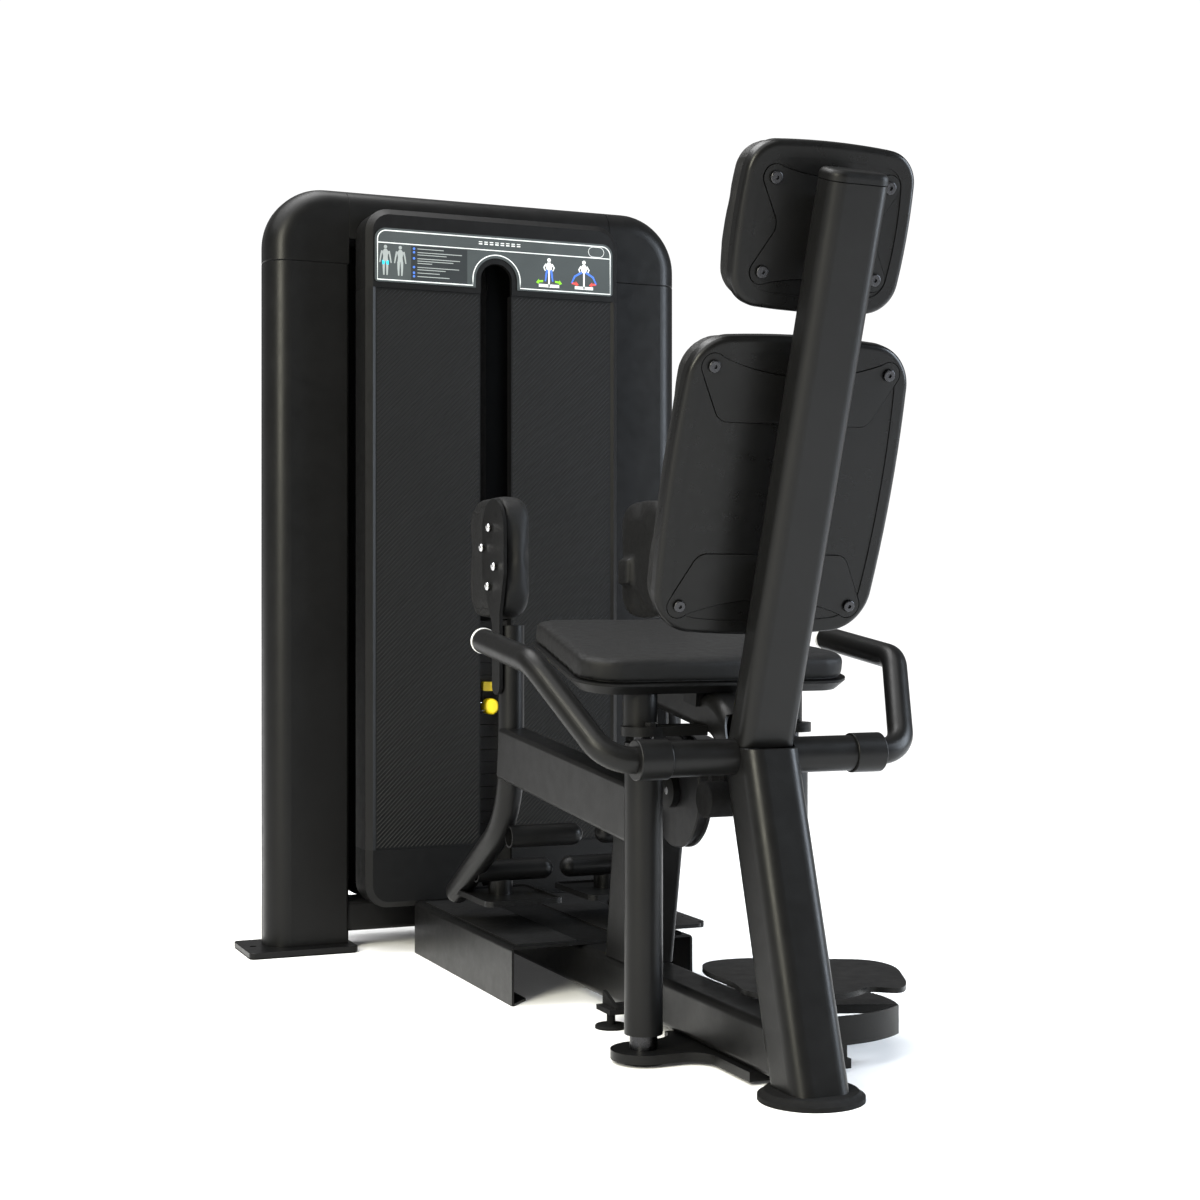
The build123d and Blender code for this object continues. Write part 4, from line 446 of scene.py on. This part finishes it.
def ring_at(piece, point, normal):
    """The longest closed loop where a plane cuts the piece, as ordered points."""
    bm = bmesh.new()
    bm.from_mesh(piece.data)
    cut = bmesh.ops.bisect_plane(
        bm, geom=bm.verts[:] + bm.edges[:] + bm.faces[:], dist=1e-7,
        plane_co=point, plane_no=normal, clear_inner=True, clear_outer=True)
    edges = [item for item in cut["geom_cut"] if isinstance(item, bmesh.types.BMEdge)]
    links = {}
    for edge in edges:
        a, b = edge.verts
        links.setdefault(a, []).append(b)
        links.setdefault(b, []).append(a)
    loops, seen = [], set()
    for first in links:
        if first in seen:
            continue
        loop, before, here = [], None, first
        while here is not None and here not in seen:
            seen.add(here)
            loop.append(here.co.copy())
            onward = [v for v in links[here] if v is not before and v not in seen]
            before, here = here, (onward[0] if onward else None)
        loops.append(loop)
    bm.free()
    return max(loops, key=len)


def tube_along(name, points, radius, material, body, closed=True):
    """A thin round tube through the points."""
    curve = bpy.data.curves.new(name, "CURVE")
    curve.dimensions = "3D"
    curve.bevel_depth = radius
    curve.bevel_resolution = 2
    spline = curve.splines.new("POLY")
    spline.points.add(len(points) - 1)
    for slot_point, point in zip(spline.points, points):
        slot_point.co = (*point, 1.0)
    spline.use_cyclic_u = closed
    holder = bpy.data.objects.new(name + "_line", curve)
    bpy.context.scene.collection.objects.link(holder)
    bpy.context.view_layer.update()
    mesh = bpy.data.meshes.new_from_object(holder)
    bpy.data.objects.remove(holder)
    piece = bpy.data.objects.new(name, mesh)
    bpy.context.scene.collection.objects.link(piece)
    mesh.materials.clear()
    mesh.materials.append(MATERIALS[material])
    mesh.shade_smooth()
    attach(piece, body)


def spaced(points, step):
    """The closed loop's points, thinned to about one every step."""
    kept, run = [points[0]], 0.0
    for before, here in zip(points, points[1:]):
        run += (here - before).length
        if run >= step:
            kept.append(here)
            run = 0.0
    return kept


def upholster(node, body, face_normal, cap=PAD_CAP):
    """A swollen vinyl pad for a CAD pad, with a welt just in front of its back face."""
    piece = cloned(node + "_cover", node)
    piece.data.materials.clear()
    piece.data.materials.append(MATERIALS["upholstery"])
    swell(piece, cap)
    normal = Vector(face_normal).normalized()
    back = min(vertex.co.dot(normal) for vertex in piece.data.vertices)
    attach(piece, body)
    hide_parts(node)
    welt = spaced(ring_at(piece, normal * (back + WELT_OFFSET), normal), WELT_STEP)
    tube_along(node + "_welt", welt, WELT_RADIUS, "upholstery", body)


LEAN = math.radians(19.0)
SEAT_SLOPE = math.radians(8.5)
back_facing = (0.0, math.cos(LEAN), math.sin(LEAN))
seat_facing = (0.0, -math.sin(SEAT_SLOPE), math.cos(SEAT_SLOPE))
upholster("back_pad", "frame", back_facing)
upholster("head_pad", "frame", back_facing)
upholster("seat_pad", "frame", seat_facing, cap=SEAT_CAP)
upholster("thigh_pad_left", "left_arm", (1, 0, 0))
upholster("thigh_pad_right", "right_arm", (-1, 0, 0))


# ---------------------------------------------------------------- shroud ribs
RIB_PITCH = 6.25 * MM
RIB_HEIGHT = 0.7 * MM
RIB_MARGIN = 2 * MM
# a rib's rounded section, in shares of the pitch across and of the height outwards
RIB_SECTION = ((-0.30, 0.0), (-0.17, 0.75), (0.0, 1.0), (0.17, 0.75), (0.30, 0.0))
# how far a rib's ends stop short of the panel's edge, as a share of the pitch
RIB_END = 0.3
# half the width of the slot between the two panels
SLOT_HALF = 33 * MM


def clip_segment(point, direction, low, high):
    """The part of a line inside a rectangle, as two parameters, or None."""
    start, end = -1e9, 1e9
    for axis in range(2):
        if abs(direction[axis]) < 1e-12:
            continue
        a = (low[axis] - point[axis]) / direction[axis]
        b = (high[axis] - point[axis]) / direction[axis]
        start, end = max(start, min(a, b)), min(end, max(a, b))
    return (start, end) if end > start else None


def rib_panel(name, low, high, front_y, pitch, height):
    """Raised diagonal ribs over a rectangle of the shroud's face, rising to the right."""
    bm = bmesh.new()
    direction = Vector((1, 1)).normalized()
    across = Vector((-1, 1)).normalized()
    reach = (high[0] - low[0]) + (high[1] - low[1])
    count = int(reach / (pitch * math.sqrt(2)))
    for index in range(count + 1):
        offset = index * pitch * math.sqrt(2)
        corner = Vector((low[0], low[1] + offset - (high[0] - low[0])))
        span = clip_segment(corner, direction, low, high)
        if span is None or span[1] - span[0] < 2 * pitch:
            continue
        ends = []
        for t in (span[0] + pitch * RIB_END, span[1] - pitch * RIB_END):
            middle = corner + direction * t
            ends.append([
                bm.verts.new((middle.x + across.x * u * pitch, front_y - v * height,
                              middle.y + across.y * u * pitch)) for u, v in RIB_SECTION])
        first, last = ends
        for a, b, c, d in zip(first, first[1:], last[1:], last):
            bm.faces.new((a, b, c, d))
        bm.faces.new(first)
        bm.faces.new(last[::-1])
        bm.faces.new((first[0], last[0], last[-1], first[-1]))
    piece_from(name, bm, "rib_sheet", "frame", smooth=False)


panel_low, panel_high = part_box("shroud_mesh_panels")
for side, tag in ((-1, "left"), (1, "right")):
    inner = side * (SLOT_HALF + RIB_MARGIN)
    outer = side * (panel_high.x - RIB_MARGIN)
    rib_panel(f"shroud_ribs_{tag}", (min(inner, outer), panel_low.z + RIB_MARGIN),
              (max(inner, outer), panel_high.z - RIB_MARGIN), panel_low.y, RIB_PITCH, RIB_HEIGHT)


# ---------------------------------------------------------------- placard printing
placard_low, placard_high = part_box("placard")
INK = 0.15 * MM


def ink_shape(bm, outline, layer=0):
    """Adds a flat raised print on the placard; outline is (x, z) pairs in millimetres."""
    y = placard_low.y - INK * (layer + 1)
    front = [bm.verts.new((x * MM, y, z * MM)) for x, z in outline]
    back = [bm.verts.new((x * MM, placard_low.y, z * MM)) for x, z in outline]
    bm.faces.new(front)
    bm.faces.new(back[::-1])
    for index in range(len(front)):
        after = (index + 1) % len(front)
        bm.faces.new((front[index], back[index], back[after], front[after]))


def ink_band(bm, line, width, closed=False):
    """A printed line of constant width through (x, z) points in millimetres."""
    count = len(line)
    sides = ([], [])
    for index, point in enumerate(line):
        before = Vector(line[index - 1] if (index or closed) else point)
        after = Vector(line[(index + 1) % count] if (index < count - 1 or closed) else point)
        along = (after - before).normalized()
        square = Vector((-along.y, along.x)) * width / 2
        sides[0].append(Vector(point) + square)
        sides[1].append(Vector(point) - square)
    for index in range(count if closed else count - 1):
        after = (index + 1) % count
        ink_shape(bm, [sides[0][index], sides[0][after], sides[1][after], sides[1][index]])


def arc(cx, cz, radius, start, end, steps):
    """Points round an arc, its angles in degrees."""
    return [(cx + radius * math.cos(math.radians(start + (end - start) * i / steps)),
             cz + radius * math.sin(math.radians(start + (end - start) * i / steps)))
            for i in range(steps + 1)]


def disc(cx, cz, radius):
    """A round outline of twenty points."""
    steps = 20
    return arc(cx, cz, radius, 0, 360 - 360 / steps, steps - 1)


def oblong(cx, cz, width, height):
    """A rectangle's corners, round its centre."""
    return [(cx - width / 2, cz - height / 2), (cx + width / 2, cz - height / 2),
            (cx + width / 2, cz + height / 2), (cx - width / 2, cz + height / 2)]


def limb(points, widths):
    """An outline round a bent limb, from points down its middle and its width at each."""
    left, right = [], []
    for index, point in enumerate(points):
        before = Vector(points[max(index - 1, 0)])
        after = Vector(points[min(index + 1, len(points) - 1)])
        along = (after - before).normalized()
        square = Vector((-along.y, along.x)) * widths[index] / 2
        left.append(Vector(point) + square)
        right.append(Vector(point) - square)
    return left + right[::-1]


# the printing's places, in millimetres on the placard's face; the arch goes round the slot's top
PRINT_LEFT, PRINT_RIGHT = placard_low.x / MM + 5, placard_high.x / MM - 5
PRINT_LOW, PRINT_HIGH = placard_low.z / MM + 4, placard_high.z / MM - 5
BAND_Z = PRINT_HIGH - 24
ARCH_Z = 1328.0
ARCH_RADIUS = 50.0
FRAME_CORNER = 18
FRAME_LINE = 2.0
BAND_LINE = 1.8
BADGE_LINE = 0.9
BADGE_RADIUS = 10
BADGE_CENTRES = (208, 222)
BADGE_RISE = 12
TITLE_BARS, TITLE_START, TITLE_PITCH, TITLE_WIDTH = 8, -34, 11.5, 7.4
MARKED_FIGURE_X, PLAIN_FIGURE_X = -230, -200
STEPS_X, STEPS_WIDTH = -120, 116
BULLET_X, BULLET_RADIUS = -172, 2.4
BAR_X, BAR_PITCH, BAR_HEIGHT = -165, 4.6, 1.5
# each step's drop below the title band and its number of lines, and the bars' widths in turn
STEP_ROWS = ((6, 1), (13, 2), (25, 3), (42, 2), (53, 1), (60, 1))
BAR_WIDTHS = (54, 92, 60, 88, 74, 30, 86, 58, 46, 66)
CLOSED_X, OPEN_X = 112, 188


def print_outlines():
    """The white frame round the placard, its title band, the arch and the empty badge."""
    bm = bmesh.new()
    corner = FRAME_CORNER
    frame_line = (
        [(-ARCH_RADIUS, PRINT_LOW), (PRINT_LEFT, PRINT_LOW), (PRINT_LEFT, PRINT_HIGH - corner)]
        + arc(PRINT_LEFT + corner, PRINT_HIGH - corner, corner, 170, 90, 8)
        + arc(PRINT_RIGHT - corner, PRINT_HIGH - corner, corner, 90, 10, 8)
        + [(PRINT_RIGHT, PRINT_HIGH - corner), (PRINT_RIGHT, PRINT_LOW), (ARCH_RADIUS, PRINT_LOW)]
        + [(ARCH_RADIUS, ARCH_Z)]
        + arc(0, ARCH_Z, ARCH_RADIUS, 8, 172, 24)
        + [(-ARCH_RADIUS, ARCH_Z)]
    )
    ink_band(bm, frame_line, FRAME_LINE, closed=True)
    ink_band(bm, [(PRINT_LEFT, BAND_Z), (PRINT_RIGHT, BAND_Z)], BAND_LINE)
    badge_left, badge_right = BADGE_CENTRES
    badge = (arc(badge_left, BAND_Z + BADGE_RISE, BADGE_RADIUS, 90, 270, 10)
             + arc(badge_right, BAND_Z + BADGE_RISE, BADGE_RADIUS, 270, 450, 10))
    ink_band(bm, badge, BADGE_LINE, closed=True)
    piece_from("placard_outlines", bm, "ink_white", "frame", smooth=False)
    # the title is a plain row of bars
    bm = bmesh.new()
    for index in range(TITLE_BARS):
        cx = TITLE_START + index * TITLE_PITCH
        ink_shape(bm, oblong(cx, BAND_Z + 11.5, TITLE_WIDTH, 2.2))
        ink_shape(bm, oblong(cx, BAND_Z + 15.5, TITLE_WIDTH, 1.6))
    piece_from("placard_title_bars", bm, "ink_white", "frame", smooth=False)


def standing_figure(bm, cx, top):
    """A plain standing figure."""
    ink_shape(bm, disc(cx, top - 5, 3.4))
    ink_shape(bm, limb([(cx, top - 9), (cx, top - 15), (cx, top - 24), (cx, top - 33)],
                       [4, 13, 9, 11]))
    for side in (-1, 1):
        ink_shape(bm, limb([(cx + side * 7, top - 13), (cx + side * 9.5, top - 24),
                            (cx + side * 11.5, top - 36)], [3.6, 3.0, 2.2]))
        ink_shape(bm, limb([(cx + side * 3.2, top - 33), (cx + side * 3.6, top - 46),
                            (cx + side * 3.2, top - 60)], [5.6, 4.2, 2.6]))


def print_muscle_figures():
    """Two standing figures, the first with its hips marked."""
    top = BAND_Z - 3
    bm = bmesh.new()
    for cx in (MARKED_FIGURE_X, PLAIN_FIGURE_X):
        standing_figure(bm, cx, top)
    piece_from("placard_figures", bm, "ink_grey", "frame", smooth=False)
    bm = bmesh.new()
    for side in (-1, 1):
        hip = ((1, 34), (7, 31), (6.5, 40), (2, 39))
        ink_shape(bm, [(MARKED_FIGURE_X + side * out, top - drop) for out, drop in hip], layer=1)
    piece_from("placard_highlights", bm, "ink_cyan", "frame", smooth=False)


def print_steps():
    """The panel of numbered steps, as bullets and plain bars."""
    bm = bmesh.new()
    middle = (BAND_Z + PRINT_LOW) / 2 - 0.5
    ink_shape(bm, oblong(STEPS_X, middle, STEPS_WIDTH, BAND_Z - PRINT_LOW - 5))
    piece_from("placard_step_panel", bm, "ink_dark", "frame", smooth=False)
    bm = bmesh.new()
    for drop, _ in STEP_ROWS:
        ink_shape(bm, disc(BULLET_X, BAND_Z - drop - 2, BULLET_RADIUS), layer=1)
    piece_from("placard_bullets", bm, "ink_blue", "frame", smooth=False)
    bm = bmesh.new()
    lines = [drop + line * BAR_PITCH for drop, count in STEP_ROWS for line in range(count)]
    for drop, width in zip(lines, BAR_WIDTHS):
        ink_shape(bm, oblong(BAR_X + width / 2, BAND_Z - drop - 2, width, BAR_HEIGHT), layer=1)
    piece_from("placard_step_bars", bm, "ink_grey", "frame", smooth=False)


def print_motion():
    """Two seated figures seen from the front, legs together and legs apart, with arrows."""
    base = PRINT_LOW + 10
    white, blue, green, red = bmesh.new(), bmesh.new(), bmesh.new(), bmesh.new()
    for cx, knee, ankle, stand in ((CLOSED_X, 6, 8, 44), (OPEN_X, 20, 27, 40)):
        ink_shape(white, oblong(cx, base + 14, 3.4, 34))
        ink_shape(white, oblong(cx, base - 1, stand, 6))
        ink_shape(white, disc(cx, base + 51, 4.0))
        ink_shape(white, limb([(cx, base + 46), (cx, base + 38), (cx, base + 30)], [7, 13, 10]))
        for side in (-1, 1):
            ink_shape(white, limb([(cx + side * 6, base + 43), (cx + side * 11, base + 36),
                                   (cx + side * 8, base + 29)], [3.4, 3.0, 2.2]))
            ink_shape(blue, limb([(cx + side * 4, base + 31), (cx + side * knee, base + 22),
                                  (cx + side * ankle, base + 8)], [4.4, 4.0, 2.8]), layer=1)
    # arrows: outwards beside the closed legs, inwards between the open ones
    outward = ((13, 6), (13, 10), (22, 9), (22, 12), (28, 5), (22, 2), (22, 5))
    inward = ((27, 6), (27, 10), (18, 9), (18, 12), (11, 5), (18, 2), (18, 5))
    for side in (-1, 1):
        ink_shape(green, [(CLOSED_X + side * out, base + rise) for out, rise in outward])
        ink_shape(red, [(OPEN_X + side * out, base + rise) for out, rise in inward])
    for name, bm, ink in (("placard_seated", white, "ink_white"),
                          ("placard_legs", blue, "ink_blue"),
                          ("placard_out_arrows", green, "ink_green"),
                          ("placard_in_arrows", red, "ink_red")):
        piece_from(name, bm, ink, "frame", smooth=False)


print_outlines()
print_muscle_figures()
print_steps()
print_motion()


# ---------------------------------------------------------------- bolts, screws and trim
HEAD_TURNS = 24
HEAD_RADIUS, HEAD_HEIGHT, HEAD_SOCKET = 7.5 * MM, 4.2 * MM, 2.8 * MM
HEAD_SUNK = 1 * MM
# the bolts' places on a thigh plate, forward of and above the pattern's middle
BOLT_PLACES = ((-0.004, 0.051), (0.032, 0.017), (-0.030, -0.017), (0.001, -0.051))
PATTERN_FORWARD = 15 * MM


def button_head(bm, centre, direction, radius, height, socket):
    """A domed screw head with a hexagonal socket, its base at centre."""
    place = axis_matrix(centre, direction)
    turns = HEAD_TURNS
    rings = []
    profile = [(radius, 0.0), (radius, 0.25 * height), (0.88 * radius, 0.62 * height),
               (0.66 * radius, 0.9 * height), (socket * 1.12, height)]
    for r, h in profile:
        rings.append([bm.verts.new(place @ Vector((r * math.cos(2 * math.pi * i / turns),
                                                   r * math.sin(2 * math.pi * i / turns), h)))
                      for i in range(turns)])
    for depth in (height, 0.35 * height):
        ring = []
        for i in range(turns):
            angle = 2 * math.pi * i / turns
            reach = socket * math.cos(math.pi / 6) / math.cos((angle % (math.pi / 3)) - math.pi / 6)
            corner = Vector((reach * math.cos(angle), reach * math.sin(angle), depth))
            ring.append(bm.verts.new(place @ corner))
        rings.append(ring)
    for low, high in zip(rings, rings[1:]):
        for i in range(turns):
            j = (i + 1) % turns
            bm.faces.new((low[i], low[j], high[j], high[i]))
    bm.faces.new(rings[-1])
    bm.faces.new(rings[0][::-1])


def plate_bolts():
    """Silver button heads on the outside of each thigh plate."""
    for side, tag in ((-1, "left"), (1, "right")):
        low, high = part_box(f"thigh_plate_{tag}")
        pad_low, pad_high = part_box(f"thigh_pad_{tag}")
        outer = low.x if side < 0 else high.x
        centre_y = (low.y + high.y) / 2 + PATTERN_FORWARD
        centre_z = (pad_low.z + pad_high.z) / 2
        bm = bmesh.new()
        for dy, dz in BOLT_PLACES:
            button_head(bm, (outer - side * HEAD_SUNK, centre_y + dy, centre_z + dz), (side, 0, 0),
                        HEAD_RADIUS, HEAD_HEIGHT, HEAD_SOCKET)
        piece_from(f"plate_bolts_{tag}", bm, "bolt_silver", f"{tag}_arm")


plate_bolts()


def tether_ring():
    """The thin wire ring and short coil that hang beside the selector's knob."""
    low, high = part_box("selector_pin")
    centre = Vector((low.x - 4 * MM, low.y + 8 * MM, (low.z + high.z) / 2))
    radius, waver, points = 8.5 * MM, 2 * MM, 32
    ring = [centre + Vector((radius * math.cos(t), waver * math.sin(2 * t), radius * math.sin(t)))
            for t in (2 * math.pi * i / points for i in range(points))]
    tube_along("tether_ring", ring, 0.6 * MM, "bright_steel", "pin")
    tab_low, tab_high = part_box("selector_tether_tab")
    top = Vector(((tab_low.x + tab_high.x) / 2 - 14 * MM, tab_low.y + 4 * MM, tab_low.z))
    coil = []
    turns, steps = 9, 12
    radius, drop = 3 * MM, 26 * MM
    for i in range(turns * steps):
        t = i / (turns * steps - 1)
        angle = 2 * math.pi * i / steps
        coil.append(top + Vector((radius * math.cos(angle), radius * math.sin(angle), -drop * t)))
    tube_along("tether_coil", coil, 0.5 * MM, "belt", "stack", closed=False)


tether_ring()

# the belt between stack and top pulley shortens as the stack rises; its edges are eased
BELT_EDGE = 0.6 * MM
belt_run = cloned("lift_belt", "belt_lift_run")
bm = bmesh.new()
bm.from_mesh(belt_run.data)
bmesh.ops.remove_doubles(bm, verts=bm.verts, dist=WELD)
bmesh.ops.bevel(bm, geom=bm.edges[:], offset=BELT_EDGE, segments=2, affect="EDGES")
bm.to_mesh(belt_run.data)
bm.free()
belt_run.data.materials.clear()
belt_run.data.materials.append(MATERIALS["belt"])
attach(belt_run, "frame")
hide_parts("belt_lift_run")
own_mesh(belt_run)
